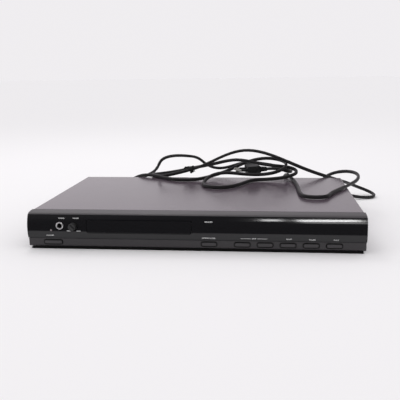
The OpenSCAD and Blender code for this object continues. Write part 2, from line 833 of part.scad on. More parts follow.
module power_button() { key(key_list[0]); }
module open_close_button() { key(key_list[1]); }
module skip_back_button() { key(key_list[2]); }
module skip_forward_button() { key(key_list[3]); }
module stop_button() { key(key_list[4]); }
module pause_button() { key(key_list[5]); }
module play_button() { key(key_list[6]); }

module volume_knob() {
    color([0.09, 0.09, 0.095])
    difference() {
        union() {
            translate([knob_x, front_y + knob_sink - clear, knob_z])
                rotate([90, 0, 0])
                    rotate_extrude()
                        polygon([[0, 0], [knob_r, 0], [knob_r - 0.2, 0.75 * knob_out], [knob_r - 0.9, 0.86 * knob_out],
                            [0, 0.86 * knob_out]]);
            translate([knob_x, front_y, knob_z])
                rotate([0, -45, 0])
                    block([-1, -knob_out, -knob_r + 0.9], [1, -0.7 * knob_out, knob_r - 0.9]);
            for (a = [0 : 20 : 340])
                translate([knob_x, front_y, knob_z])
                    rotate([0, a, 0])
                        block([knob_r - 0.5, -0.66 * knob_out, -0.22], [knob_r + 0.15, 0.2, 0.22]);
        }
        lying_post(knob_x, front_y - knob_deep, knob_z, spindle_r + slip, 2 * knob_out);
    }
}
knob_deep = 5;

module volume_spindle() {
    color([0.75, 0.75, 0.77])
    lying_post(knob_x, front_y - knob_deep, knob_z, spindle_r, board_d + knob_deep - 1.5);
}

module volume_control() {
    color([0.45, 0.47, 0.5])
    difference() {
        union() {
            block([knob_x - pot_w / 2, front_y + 8.4, knob_z - pot_w / 2], [knob_x + pot_w / 2, front_y + board_d, knob_z + pot_w / 2]);
            lying_post(knob_x, front_y + 2.2, knob_z, bushing_r, 8);
        }
        lying_post(knob_x, front_y, knob_z, spindle_r + slip, board_d - 1);
    }
}

module headphone_socket() {
    color([0.13, 0.13, 0.14])
    difference() {
        union() {
            lying_post(jack_x, front_y + ring_sink, jack_z, barrel_r, 8);
            block([jack_x - 5.6, front_y + 8.4, jack_z - 5.6], [jack_x + 5.6, front_y + 28, jack_z + 5.6]);
        }
        lying_post(jack_x, front_y, jack_z, jack_r, 26);
    }
}

module socket_ring() {
    color([0.85, 0.85, 0.87])
    difference() {
        translate([jack_x, front_y + ring_sink, jack_z])
            rotate([90, 0, 0])
                rotate_extrude()
                    polygon([[jack_r + 0.1, 0], [ring_r, 0], [ring_r, ring_sink + 0.2], [ring_r - 0.7, ring_sink + 0.8],
                        [jack_r + 0.6, ring_sink + 0.8], [jack_r + 0.1, ring_sink + 0.3]]);
    }
}

module standby_lamp() {
    color([0.75, 0.1, 0.08]) {
        translate([led_x, front_y + 0.3, led_z])
            rotate([-90, 0, 0])
                rotate_extrude()
                    polygon([[0, -0.5], [0.8 * led_r, -0.2], [led_r, 0.4], [led_r, 6.4], [led_r + 0.4, 6.4],
                        [led_r + 0.4, 7.4], [0, 7.4]]);
        for (x = [-1, 0.6])
            block([led_x + x, front_y + 7, led_z - 0.2], [led_x + x + 0.4, front_y + board_d + board_t + 1, led_z + 0.2]);
    }
}

module board_plate(x0, x1) {
    block([x0, front_y + board_d, board_low], [x1, front_y + board_d + board_t, board_high]);
}

module left_key_board() {
    color([0.12, 0.35, 0.2])
    difference() {
        board_plate(left_board_x[0], left_board_x[1]);
        block([jack_x - 6, front_y, jack_z - 6], [jack_x + 6, front_y + 30, jack_z + 6]);
        for (x = [-1, 0.6])
            block([led_x + x - slip, front_y, led_z - 0.3], [led_x + x + 0.4 + slip, front_y + 30, led_z + 0.3]);
    }
}

module right_key_board() {
    color([0.12, 0.35, 0.2])
    board_plate(right_board_x[0], right_board_x[1]);
}

module key_switches() {
    color([0.2, 0.2, 0.2])
    for (k = key_list) {
        block([k[0] - 3, front_y + board_d - switch_d, key_z - 3], [k[0] + 3, front_y + board_d, key_z + 3]);
        lying_post(k[0], front_y + board_d - switch_d - stem_l, key_z, stem_r, stem_l + 1);
    }
}

module display_glass() {
    color([0.25, 0.3, 0.3])
    difference() {
        block([display_x[0], front_y + 8, display_z[0]], [display_x[1], front_y + board_d, display_z[1]]);
        block([display_x[0] + 2, front_y, display_z[0] + 2], [display_x[1] - 2, front_y + 8.4, display_z[1] - 2]);
    }
}

module infrared_sensor() {
    color([0.1, 0.1, 0.1]) {
        block([sensor_x - 3.2, front_y + 9.2, sensor_z - 3.6], [sensor_x + 3.2, front_y + board_d, sensor_z + 3.6]);
        lying_post(sensor_x, front_y + 7.6, sensor_z, 2.6, 3);
    }
}

// Disc loader: everything below is in the loader's own places, moved by at_loader

module loader_frame() {
    color([0.82, 0.82, 0.8])
    at_loader()
        difference() {
            union() {
                block([-loader_out, loader_d0, loader_z], [loader_out, loader_d1, floor_top]);
                for (side = [0, 1])
                    mirror([side, 0, 0])
                        loader_side();
                block([-loader_out, loader_d0, loader_z], [loader_out, loader_d0 + loader_wall, rack_z - clear]);
                block([-loader_out, loader_d1 - loader_wall, loader_z], [loader_out, loader_d1, bridge_z]);
                cross_wall();
                for (x = [gear_x, pulley_x]) {
                    post(x, gear_d, loader_z, 3, wheel_z - loader_z);
                    post(x, gear_d, loader_z, axle_r, rack_gear_top - loader_z);
                }
                block([well_x0 - lug_t - slip, pivot_d - 5, loader_z], [well_x0 - slip, pivot_d + 5, pivot_z + 4]);
                block([well_x1 + slip, pivot_d - 5, loader_z], [well_x1 + slip + lug_t, pivot_d + 5, pivot_z + 4]);
            }
            block([well_x0, well_d0, 0], [well_x1, well_d1, floor_top + 1]);
            post(motor_x, gear_d, 0, load_motor_r + clear, floor_top + 1);
            cross_post(-loader_out, pivot_d, pivot_z, pivot_r + slip, 2 * loader_out);
            for (p = loader_posts)
                post(p[0], p[1], 0, post_hole_r + 0.1, floor_top + 1);
        }
}

module loader_side() {
    block([loader_in, loader_d0, loader_z], [loader_out, loader_d1, bridge_z]);
    block([loader_in - rail_w, loader_d0, tray_z - clear - rail_t], [loader_in + 1, rail_end_d, tray_z - clear]);
    block([loader_in - rail_w, loader_d0, tray_top + clear], [loader_in + 1, rail_end_d, tray_top + clear + rail_t]);
}

// Wall behind the gears that guides the cam slide, with a ledge below and two hooks above
module cross_wall() {
    d0 = cam_d - clear - 2;
    d1 = cam_d - clear;
    block([cross_x0, d0, cam_z0 - 1.4], [well_x1 + 3, d1, hook_top]);
    for (x = ledge_x) {
        block([x - 4, d0, cam_z0 - 1.4], [x + 4, cam_d + cam_t + clear + 1.2, cam_z0 - 0.3]);
        block([x - 4, cam_d + cam_t + clear, cam_z0 - 1.4], [x + 4, cam_d + cam_t + clear + 1.2, cam_z0 + 1.2]);
    }
    for (x = hook_x) {
        block([x - 4, d0, cam_z1 + 0.3], [x + 4, cam_d + cam_t + clear + 1.2, hook_top]);
        block([x - 4, cam_d + cam_t + clear, cam_z1 - 1.6], [x + 4, cam_d + cam_t + clear + 1.2, hook_top]);
    }
}
cross_x0 = -32;
hook_top = 23.9;
hook_x = [-25, 10];
ledge_x = [-18, 17];

module cam_slide() {
    fall = cam_drop;
    slope = atan(fall / cam_travel);
    run = sqrt(fall * fall + cam_travel * cam_travel);
    wide = cam_pin_r + 0.28;
    color([0.9, 0.9, 0.88])
    at_loader()
        difference() {
            block([cam_x0, cam_d, cam_z0], [cam_x1, cam_d + cam_t, cam_z1]);
            for (x = cam_pin_x)
                translate([x, cam_d, cam_pin_z])
                    rotate([0, -slope, 0])
                        block([-run - wide, -1, -wide], [wide, cam_t + 1, wide]);
        }
}

module disc_tray() {
    color([0.1, 0.1, 0.105])
    at_loader()
        difference() {
            union() {
                block([-tray_w / 2, tray_d, tray_z], [tray_w / 2, tray_d + tray_l, tray_top]);
                translate([rack_x, gear_d, rack_z])
                    rack(rack_mod, tray_d + 6 - gear_d, tray_d + tray_l - 4 - gear_d, 4.4, tray_z - rack_z + 1);
            }
            post(0, spindle_d, recess_z, recess_r, tray_h);
            post(0, spindle_d, recess_z - small_recess_d, small_recess_r, tray_h);
            post(0, spindle_d, 0, hub_hole_r, body_h);
            block([-hub_hole_r, spindle_d, 0], [hub_hole_r, tray_d + tray_l + 1, body_h]);
            for (side = [-1, 1])
                translate([side * (recess_r - 3), spindle_d, recess_z - small_recess_d])
                    cylinder(r = finger_r, h = tray_h);
            for (x = [-42, 42])
                block([x - 14, spindle_d + recess_r + 6, tray_z + 1.6], [x + 14, tray_d + tray_l - 4, tray_top + 1]);
        }
}
finger_r = 9;

module clamp_bridge() {
    color([0.7, 0.7, 0.71])
    at_loader()
        difference() {
            union() {
                block([-loader_out, bridge_d0, bridge_z], [loader_out, bridge_d1, bridge_z + bridge_t]);
                for (d = [bridge_d0, bridge_d1 - bridge_t])
                    block([-loader_in + 4, d, bridge_z], [loader_in - 4, d + bridge_t, bridge_z + 4]);
            }
            post(0, spindle_d, 0, puck_r + 1, body_h);
            for (x = [-loader_in - 1.2, loader_in + 1.2], d = [bridge_d0 + 5, bridge_d1 - 5])
                post(x, d, 0, 0.9, body_h);
        }
}
bridge_d0 = 52;
bridge_d1 = 106;
bridge_t = 1.2;
puck_r = 12;
puck_z = table_z + cone_h + 0.4;

module clamp_puck() {
    color([0.2, 0.2, 0.21])
    at_loader()
        translate([0, spindle_d, 0])
            rotate_extrude()
                polygon([[0, puck_z + 0.8], [cone_r, puck_z + 0.8], [cone_r + 0.8, puck_z], [puck_r, puck_z],
                    [puck_r, bridge_z + bridge_t], [clamp_r, bridge_z + bridge_t], [clamp_r, bridge_z + bridge_t + 1.4],
                    [9, bridge_z + bridge_t + 1.4], [8, bridge_z + bridge_t + 3.4], [0, bridge_z + bridge_t + 3.4]]);
}

module loading_motor() {
    color([0.75, 0.76, 0.78])
    at_loader()
        difference() {
            union() {
                post(motor_x, gear_d, motor_low, load_motor_r, motor_h);
                post(motor_x, gear_d, floor_top, load_motor_r + 2, 1);
                post(motor_x, gear_d, motor_low + motor_h, 3, 0.7);
            }
            post(motor_x, gear_d, motor_low + 2, shaft_r + slip, body_h);
        }
}
shaft_r = 1;

// Belt wheel with a groove, its bottom at z = 0
module belt_wheel(r, h, bore) {
    groove_h = 2 * belt_r + 0.6;
    rotate_extrude()
        polygon([[bore, 0], [r, 0], [r, (h - groove_h) / 2], [r - belt_sink, (h - groove_h) / 2 + 0.1],
            [r - belt_sink, (h + groove_h) / 2 - 0.1], [r, (h + groove_h) / 2], [r, h], [bore, h]]);
}
belt_sink = 1.6;

module motor_pulley() {
    color([0.85, 0.8, 0.55])
    at_loader()
        translate([motor_x, gear_d, 0]) {
            translate([0, 0, belt_z - pulley_h / 2])
                belt_wheel(motor_pulley_r + belt_sink, pulley_h, 0);
            translate([0, 0, motor_low + 3])
                cylinder(r = shaft_r, h = belt_z - motor_low - 3);
        }
}

module loading_belt() {
    inner_a = pulley_r - belt_sink + 0.3;
    inner_b = motor_pulley_r + 0.3;
    color([0.08, 0.08, 0.08])
    at_loader()
        translate([0, gear_d, belt_z - belt_r])
            linear_extrude(2 * belt_r)
                difference() {
                    hull() {
                        translate([pulley_x, 0])
                            circle(r = inner_a + 1);
                        translate([motor_x, 0])
                            circle(r = inner_b + 1);
                    }
                    hull() {
                        translate([pulley_x, 0])
                            circle(r = inner_a);
                        translate([motor_x, 0])
                            circle(r = inner_b);
                    }
                }
}

module pulley_gear() {
    color([0.93, 0.93, 0.9])
    at_loader()
        translate([pulley_x, gear_d, 0])
            difference() {
                union() {
                    translate([0, 0, wheel_z])
                        gear(red_mod, pinion_teeth, wheel_h + 0.4, 180 / pinion_teeth + 180);
                    translate([0, 0, wheel_z + wheel_h])
                        cylinder(r = pinion_r, h = belt_z - pulley_h / 2 - wheel_z - wheel_h + 0.2);
                    translate([0, 0, belt_z - pulley_h / 2])
                        belt_wheel(pulley_r, pulley_h, 0);
                }
                post(0, 0, 0, axle_r + slip, body_h);
            }
}

module tray_gear() {
    color([0.93, 0.93, 0.9])
    at_loader()
        translate([gear_x, gear_d, 0])
            difference() {
                union() {
                    translate([0, 0, wheel_z])
                        gear(red_mod, wheel_teeth, wheel_h);
                    translate([0, 0, rack_gear_z - 0.2])
                        gear(rack_mod, rack_teeth, rack_gear_top - rack_gear_z, 180);
                }
                post(0, 0, 0, axle_r + slip, body_h);
                for (a = [30 : 60 : 330])
                    rotate(a)
                        post(0.78 * wheel_r, 0, 0, 2.4, wheel_z + wheel_h);
            }
}

// Traverse: the frame that tilts, with what rides on it

module traverse_frame() {
    color([0.25, 0.25, 0.26])
    at_loader()
        difference() {
            union() {
                block([trav_x0, trav_d0, trav_z], [trav_x1, trav_d1, trav_top]);
                difference() {
                    block([trav_x0, trav_d0, trav_z], [trav_x1, trav_d1, trav_top + trav_rim]);
                    block([trav_x0 + 1.6, trav_d0 + 1.6, 0], [trav_x1 - 1.6, trav_d1 - 1.6, body_h]);
                }
                cross_post(well_x0 - lug_t, pivot_d, pivot_z, pivot_r, trav_x0 - well_x0 + lug_t + 1);
                cross_post(trav_x1 - 1, pivot_d, pivot_z, pivot_r, well_x1 + lug_t - trav_x1 + 1);
                for (x = cam_pin_x)
                    lying_post(x, cam_d + 0.1, cam_pin_z, cam_pin_r, trav_d0 - cam_d + 1);
                for (x = [-rod_x, rod_x], d = [bay_d0 - rod_block, bay_d1])
                    block([x - 3.1, d, trav_z + 0.5], [x + 3.1, d + rod_block, rod_z + rod_r + 1.2]);
            }
            block([bay_x0, bay_d0, 0], [bay_x1, bay_d1, trav_top + 0.1]);
            post(0, spindle_d, 0, motor_r + 0.3, trav_top + 1);
            for (x = [-rod_x, rod_x])
                lying_post(x, bay_d0 - rod_block + 0.6, rod_z, rod_r + slip, bay_d1 - bay_d0 + 2 * rod_block - 1.2);
            post(feed_x, feed_d, 0, feed_hub_r + slip, body_h);
            post(feed_can_x, feed_can_d, 0, 1.2, trav_top + 0.1);
            for (x = [trav_x0 + 8, trav_x1 - 8])
                block([x - 5, trav_d0 + 8, 0], [x + 5, trav_d0 + 26, trav_top + 0.1]);
        }
}
feed_can_x = feed_x + feed_reach * cos(feed_turn);
feed_can_d = feed_d + feed_reach * sin(feed_turn);

module spindle_motor() {
    color([0.78, 0.79, 0.8])
    at_loader()
        difference() {
            union() {
                post(0, spindle_d, motor_z, motor_r, 12.3);
                difference() {
                    post(0, spindle_d, trav_top, motor_r + 2.4, 1);
                    block([-20, spindle_d + motor_r + 1, 0], [20, spindle_d + 30, body_h]);
                }
            }
            post(0, spindle_d, motor_z + 1.4, shaft_r + slip, body_h);
        }
}

module turntable() {
    color([0.16, 0.16, 0.17])
    at_loader()
        translate([0, spindle_d, 0])
            rotate_extrude()
                polygon([[0, motor_z + 2], [shaft_r, motor_z + 2], [shaft_r, table_z - table_h - 0.8],
                    [3.2, table_z - table_h - 0.8], [3.2, table_z - table_h], [table_r, table_z - table_h],
                    [table_r, table_z - 0.4], [table_r - 0.6, table_z], [table_r - 3, table_z],
                    [table_r - 3, table_z - 0.5], [cone_r + 1, table_z - 0.5], [cone_r, table_z - 0.2],
                    [cone_r - 0.1, table_z + 0.6], [cone_r - 1.6, table_z + cone_h], [0, table_z + cone_h]]);
}

module guide_rods() {
    color([0.85, 0.86, 0.88])
    at_loader()
        for (x = [-rod_x, rod_x])
            lying_post(x, bay_d0 - rod_block + 0.6, rod_z, rod_r, bay_d1 - bay_d0 + 2 * rod_block - 1.2);
}

module pickup() {
    wing_low = rod_z - rod_r - 1;
    wing_top = rod_z + rod_r + 1;
    color([0.5, 0.5, 0.52])
    at_loader()
        difference() {
            union() {
                block([-pickup_w / 2, pickup_d0, pickup_z], [pickup_w / 2, pickup_d0 + pickup_l, pickup_z + pickup_h]);
                block([-rod_x - rod_r - 1.2, pickup_d0 + 8, wing_low], [0, pickup_d0 + 20, wing_top]);
                block([0, pickup_d0, wing_low], [rack_bar_x0 + 0.4, pickup_d0 + pickup_l, wing_top]);
                translate([feed_rack_x, feed_d, rack_bar_z])
                    rack(feed_mod, feed_rack_d[0] - feed_d, feed_rack_d[1] - feed_d, feed_rack_x - rack_bar_x0, 2.2);
            }
            lying_post(rod_x, 0, rod_z, rod_r + slip, 2 * bay_d1);
            block([-rod_x - 10, 0, rod_z - rod_r - 0.15], [-rod_x + rod_r + 0.3, 2 * bay_d1, rod_z + rod_r + 0.15]);
            block([-pickup_w / 2 + 5, pickup_d0 + pickup_l - 7, pickup_z + 3],
                [pickup_w / 2 - 5, pickup_d0 + pickup_l - 2, body_h]);
        }
}
rack_bar_x0 = 29.7;
rack_bar_z = 18.9;

module pickup_lens() {
    top = pickup_z + pickup_h;
    color([0.2, 0.25, 0.4])
    at_loader()
        translate([0, lens_d, 0])
            difference() {
                union() {
                    block([-9, -7, top], [9, 8, top + 2.6]);
                    rotate_extrude()
                        polygon(concat([[0, top + 2], [4.4, top + 2], [4.4, lens_z - 1.2], [lens_r, lens_z - 1.2]],
                            [for (a = [0 : 18 : 90]) [lens_r * cos(a), lens_z - 0.9 + 0.9 * sin(a)]]));
                }
                for (y = [-5.6, 4.6])
                    block([-7, y, top + 1], [7, y + 1.4, top + 4]);
            }
}

module feed_motor() {
    color([0.78, 0.79, 0.8])
    at_loader()
        difference() {
            post(feed_can_x, feed_can_d, trav_top, feed_can_r, feed_can_h);
            post(feed_can_x, feed_can_d, 0, 0.85, trav_top + feed_can_h - 1);
        }
}

module feed_motor_pinion() {
    color([0.85, 0.8, 0.55])
    at_loader()
        translate([feed_can_x, feed_can_d, feed_wheel_z]) {
            gear(feed_mod, feed_motor_teeth, feed_wheel_h, 180 + feed_turn + 180 / feed_motor_teeth);
            cylinder(r = 0.8, h = trav_top + feed_can_h - 1.6 - feed_wheel_z);
        }
}

module feed_gear() {
    color([0.93, 0.93, 0.9])
    at_loader()
        translate([feed_x, feed_d, 0]) {
            translate([0, 0, feed_wheel_z])
                gear(feed_mod, feed_wheel_teeth, feed_wheel_h, feed_turn);
            translate([0, 0, feed_wheel_z + 1])
                cylinder(r = feed_hub_r, h = trav_top - feed_wheel_z);
            translate([0, 0, trav_top + clear])
                gear(feed_mod, feed_pinion_teeth, 2.4, 180);
        }
}

// Circuit boards and what stands on them

module board_holes(posts) {
    for (p = posts)
        post(p[0], front_y + p[1], 0, screw_r + 0.1, body_h);
}

module main_board() {
    color([0.1, 0.33, 0.2])
    difference() {
        translate([0, front_y, main_z])
            linear_extrude(board_t)
                polygon(main_pts);
        board_holes(main_posts);
    }
}

// Flat chip with legs on two sides, on the board at (x, d)
module chip(x, d, w, l, z) {
    block([x - w / 2, front_y + d - l / 2, z], [x + w / 2, front_y + d + l / 2, z + 1.6]);
    for (i = [1 : floor(l / 3) - 1])
        block([x - w / 2 - 1.2, front_y + d - l / 2 + 3 * i - 0.5, z],
            [x + w / 2 + 1.2, front_y + d - l / 2 + 3 * i + 0.5, z + 0.5]);
}

chip_w = 28;
plug_row_d = 122;

// Can capacitor standing on a board at (x, d)
module can(x, d, z, r, h) {
    translate([x, front_y + d, z])
        rotate_extrude()
            polygon([[0, 0], [r, 0], [r, 0.1 * h], [r - 0.4, 0.14 * h], [r, 0.18 * h], [r, h - 0.5],
                [r - 0.5, h], [0, h]]);
}

module main_board_parts() {
    top = main_z + board_t;
    strip_mid = (main_front + main_back) / 2;
    color([0.13, 0.13, 0.14]) {
        chip(68, 190, chip_w, chip_w, top);
        chip(30, 168, 12, 22, top);
        chip(-40, strip_mid, 10, 18, top);
        chip(-90, strip_mid, 8, 12, top);
        chip(100, 162, 12, 20, top);
        for (x = [-112, -70, -20, 0])
            can(x, main_front + 16, top, 3, 8);
        for (x = [44, 96])
            can(x, 150, top, 4, 10);
        block([28, front_y + plug_row_d, top], [58, front_y + plug_row_d + 6, top + 6]);
        block([-30, front_y + main_front + 2, top], [0, front_y + main_front + 8, top + 6]);
    }
}

module power_board() {
    color([0.72, 0.6, 0.36])
    difference() {
        block([supply_x[0], front_y + supply_d[0], main_z], [supply_x[1], front_y + supply_d[1], main_z + board_t]);
        board_holes(supply_posts);
    }
}

module power_board_parts() {
    top = main_z + board_t;
    mid = (supply_x[0] + supply_x[1]) / 2;
    core_y = front_y + supply_d[0] + 0.402 * supply_l;
    sink_y = front_y + supply_d[0] + 0.126 * supply_l;
    back_block = front_y + supply_d[1] - 18;
    color([0.35, 0.36, 0.3]) {
        can(mid + 12, supply_d[0] + 0.736 * supply_l, top, 9, 26);
        for (x = [14, 29], d = [26, 44])
            can(supply_x[0] + x, supply_d[0] + d, top, 5, 16);
        difference() {
            block([mid - core_w / 2, core_y, top], [mid + core_w / 2, core_y + core_l, top + 24]);
            for (y = [core_y - 1, core_y + core_l - 7])
                block([mid - core_w, y, top + 5], [mid + core_w, y + 8, top + 19]);
        }
        difference() {
            block([mid + 20, sink_y, top], [mid + 34, sink_y + sink_l, top + 22]);
            for (i = [0 : 5])
                block([mid + 22, sink_y + 3 + 6 * i, top + 2], [mid + 35, sink_y + 6.6 + 6 * i, top + 23]);
        }
        block([mid - 28, back_block - 12, top], [mid - 10, back_block, top + 16]);
        block([mid + 2, back_block - 2, top], [mid + 26, back_block + 6, top + 10]);
        block([mid - 20, front_y + supply_d[0] + 2, top], [mid + 6, front_y + supply_d[0] + 8, top + 7]);
    }
}

core_w = 28;
core_l = 34;
sink_l = 40;

// Flat cables, drawn as ribbons of round-number points in a side plane
module ribbon(x, w, pts) {
    for (i = [0 : len(pts) - 2])
        let (a = pts[i], b = pts[i + 1], run = sqrt(pow(b[0] - a[0], 2) + pow(b[1] - a[1], 2)))
            translate([x - w / 2, front_y + a[0], a[1]])
                rotate([atan2(b[1] - a[1], b[0] - a[0]), 0, 0])
                    translate([0, -ribbon_t / 2, -ribbon_t / 2])
                        cube([w, run + ribbon_t, ribbon_t]);
}
ribbon_t = 0.4;

module flat_cables() {
    top = main_z + board_t + 6;
    color([0.88, 0.88, 0.86]) {
        ribbon(43, 24, [[board_d + board_t + 0.3, 38], [24, 40], [110, 30], [plug_row_d + 3, top + 0.3]]);
        ribbon(-15, 18, [[loader_d1 + 0.4, 30], [loader_d1 + 6, 34], [loader_d1 + 15, top + 0.3]]);
        ribbon(150, 14, [[board_d + board_t + 0.3, 34], [30, 36], [70, 26], [83, top + 1.3]]);
    }
}

module board_screws() {
    color([0.8, 0.78, 0.7]) {
        for (p = concat(main_posts, supply_posts))
            translate([p[0], front_y + p[1], main_z + board_t])
                board_screw();
        for (p = loader_posts)
            translate([tray_x + p[0], front_y + p[1], floor_top])
                board_screw();
    }
}

module board_screw() {
    rotate_extrude()
        polygon([[0, -5], [post_hole_r - 0.1, -5], [post_hole_r - 0.1, 0], [2.6, 0], [2.6, 0.9], [1.6, 1.8], [0, 1.8]]);
}

// Rear sockets

module phono_block(x, n) {
    difference() {
        union() {
            block([x - phono_pitch / 2, panel_y - socket_deep, phono_z[0] - phono_pitch / 2 + 0.6],
                [x + (n - 0.5) * phono_pitch, panel_y, phono_z[1] + phono_pitch / 2 - 0.6]);
            for (i = [0 : n - 1], z = phono_z) {
                lying_post(x + i * phono_pitch, panel_y - 1, z, collar_r, 1 + 2.4 * sheet_t);
                lying_post(x + i * phono_pitch, panel_y - 1, z, phono_r, back_y + phono_out - panel_y + 1);
            }
        }
        for (i = [0 : n - 1], z = phono_z)
            lying_post(x + i * phono_pitch, panel_y - socket_deep + 4, z, phono_hole_r, 60);
    }
}

module phono_sockets() {
    color([0.8, 0.68, 0.3]) {
        phono_block(phono_audio_x, 3);
        phono_block(phono_video_x, 3);
    }
}

module scart_socket() {
    w = scart_w / 2;
    h = scart_h / 2;
    color([0.12, 0.12, 0.13])
    difference() {
        union() {
            difference() {
                block([scart_x - w, panel_y - scart_deep, scart_z - h], [scart_x + w, back_y + 2, scart_z + h]);
                block([scart_x - w + scart_wall, back_y - scart_cavity, scart_z - h + scart_wall],
                    [scart_x + w - scart_wall, back_y + 3, scart_z + h - scart_wall]);
            }
        }
        for (i = [0 : 9], row = [0, 1])
            block([scart_x + (i - 4.5 + 0.5 * row) * scart_pitch - 1.6, panel_y - scart_deep + 3,
                    scart_z + (row - 0.5) * 5.2 - 0.5],
                [scart_x + (i - 4.5 + 0.5 * row) * scart_pitch + 0.4, back_y, scart_z + (row - 0.5) * 5.2 + 0.5]);
    }
}
scart_pitch = 3.81;
scart_cavity = 3;

module svideo_socket() {
    color([0.1, 0.1, 0.1])
    difference() {
        union() {
            lying_post(svideo_x, panel_y - socket_deep, svideo_z, svideo_r, socket_deep + 2.6 * sheet_t);
            block([svideo_x - 7, panel_y - socket_deep, svideo_z - 7], [svideo_x + 7, panel_y, svideo_z + 7]);
        }
        difference() {
            lying_post(svideo_x, panel_y - 6, svideo_z, svideo_r - 1.2, 20);
            block([svideo_x - 1.4, panel_y - 7, svideo_z - svideo_r], [svideo_x + 1.4, back_y + 9, svideo_z - svideo_r + 2.4]);
        }
        for (p = [[-1.7, -1.2], [1.7, -1.2], [-3, 1.4], [3, 1.4]])
            lying_post(svideo_x + p[0], panel_y - 10, svideo_z + p[1], 0.5, 10);
    }
}

module optical_socket() {
    color([0.1, 0.1, 0.1])
    difference() {
        block([optical_x - optical_w / 2, panel_y - socket_deep, optical_z - optical_w / 2],
            [optical_x + optical_w / 2, back_y, optical_z + optical_w / 2]);
        block([optical_x - 3.4, back_y - 1.6, optical_z - 3.4], [optical_x + 3.4, back_y + 1, optical_z + 3.4]);
    }
}

// Mains lead

relief_y = panel_y - 2;
relief_r0 = 5.2;
relief_r1 = 3.6;
module strain_relief() {
    color([0.08, 0.08, 0.085])
    difference() {
        union() {
            block([bush_x - bush_w / 2 + slip, relief_y, bush_z - bush_h / 2 + slip],
                [bush_x + bush_w / 2 - slip, back_y, bush_z + bush_h / 2 - slip]);
            translate([bush_x, back_y - sheet_t, bush_z])
                rotate([-90, 0, 0])
                    rotate_extrude()
                        polygon([[0, 0], [bush_w / 2 + 2, 0], [bush_w / 2 + 2, 1.6], [relief_r0, 2.4],
                            [relief_r1, relief_l], [0, relief_l]]);
        }
        for (i = [0 : 4], side = [0, 1])
            translate([bush_x, back_y + 4.5 + 5 * i, bush_z])
                mirror([side, 0, 0])
                    block([1.2 + 0.6, 0, -7], [7, 1.6, 7]);
    }
}

// Rings of the lead: direction and side vector at each point, the side carried on from ring to ring
function unit(v) = v / norm(v);
function way(i) = unit(LEAD[min(i + 1, len(LEAD) - 1)] - LEAD[max(i - 1, 0)]);
function sides(i, s) =
    let (t = way(i), n = unit(s - (s * t) * t)) i == len(LEAD) - 1 ? [n] : concat([n], sides(i + 1, n));
LEAD_SIDES = sides(0, [1, 0, 0]);
lead_lobe = (lead_w - lead_t) / 2;
lead_section = concat(arc(lead_lobe, 0, lead_t / 2, -75, 75, 4), [[0, 0.4 * lead_t]],
    arc(-lead_lobe, 0, lead_t / 2, 105, 255, 4), [[0, -0.4 * lead_t]]);

module mains_lead() {
    n = len(LEAD);
    m = len(lead_section);
    color([0.09, 0.09, 0.095])
    polyhedron(
        points = [for (i = [0 : n - 1]) for (q = lead_section)
            LEAD[i] + q[0] * LEAD_SIDES[i] + q[1] * cross(LEAD_SIDES[i], way(i))],
        faces = concat([[for (j = [m - 1 : -1 : 0]) j]], [[for (j = [0 : m - 1]) (n - 1) * m + j]],
            [for (i = [0 : n - 2]) for (j = [0 : m - 1]) for (k = [0, 1])
                let (a = i * m + j, b = i * m + (j + 1) % m) k == 0 ? [a, b, b + m] : [a, b + m, a + m]]));
}

// Moves what stands on the lead to one of its rings: across, up and along the lead
module at_lead(i) {
    t = way(i);
    s = LEAD_SIDES[i];
    u = cross(s, t);
    p = LEAD[i];
    multmatrix([[s[0], u[0], t[0], p[0]], [s[1], u[1], t[1], p[1]], [s[2], u[2], t[2], p[2]]])
        children();
}

module lead_tie() {
    w = lead_w / 2 + tie_gap;
    h = lead_t / 2 + tie_gap;
    color([0.9, 0.9, 0.9])
    at_lead(tie_ring)
        union() {
            difference() {
                block([-w - tie_t, -h - tie_t, -tie_w / 2], [w + tie_t, h + tie_t, tie_w / 2]);
                block([-w, -h, -tie_w], [w, h, tie_w]);
            }
            for (a = [166, 196])
                translate([0, -h - tie_t / 2, 0])
                    rotate([0, 0, a])
                        block([-tie_t, 0, -tie_w / 2], [tie_t, tie_tail, tie_w / 2]);
        }
}
tie_gap = 0.4;
tie_t = 0.5;
tie_w = 3;
tie_tail = 11;

// Flat two-pin mains plug; its lead comes in at the origin and its pins point to -X
plug_neck = 12;
plug_body_l = 22;
plug_wide = 35;
plug_thick = 14;
pin_seat = 8;

module at_plug() {
    translate(plug_at + [0, front_y, 0])
        rotate([0, 0, plug_turn])
            children();
}

module plug_body() {
    front = -plug_neck - plug_body_l;
    w = plug_wide / 2;
    t = plug_thick / 2;
    color([0.08, 0.08, 0.085])
    at_plug()
        difference() {
            intersection() {
                translate([0, 0, -t])
                    linear_extrude(plug_thick)
                        polygon([[0, -4.4], [-9, -4.8], [-plug_neck, -7], [-16, -12], [-20, -w + 1], [front + 4, -w],
                            [front, -w + 1.5], [front, w - 1.5], [front + 4, w], [-20, w - 1], [-16, 12],
                            [-plug_neck, 7], [-9, 4.8], [0, 4.4]]);
                rotate([90, 0, 0])
                    translate([0, 0, -w])
                        linear_extrude(plug_wide)
                            polygon([[0, -3], [-9, -3.6], [-14, -t], [front + 2, -t], [front, -t + 1], [front, t - 1],
                                [front + 2, t], [-14, t], [-9, 3.6], [0, 3]]);
            }
            for (y = [-plug_pitch / 2, plug_pitch / 2])
                translate([0, y, 0])
                    rotate([0, -90, 0])
                        translate([0, 0, -front - pin_seat])
                            cylinder(r = plug_pin_r + slip, h = 2 * pin_seat);
        }
}

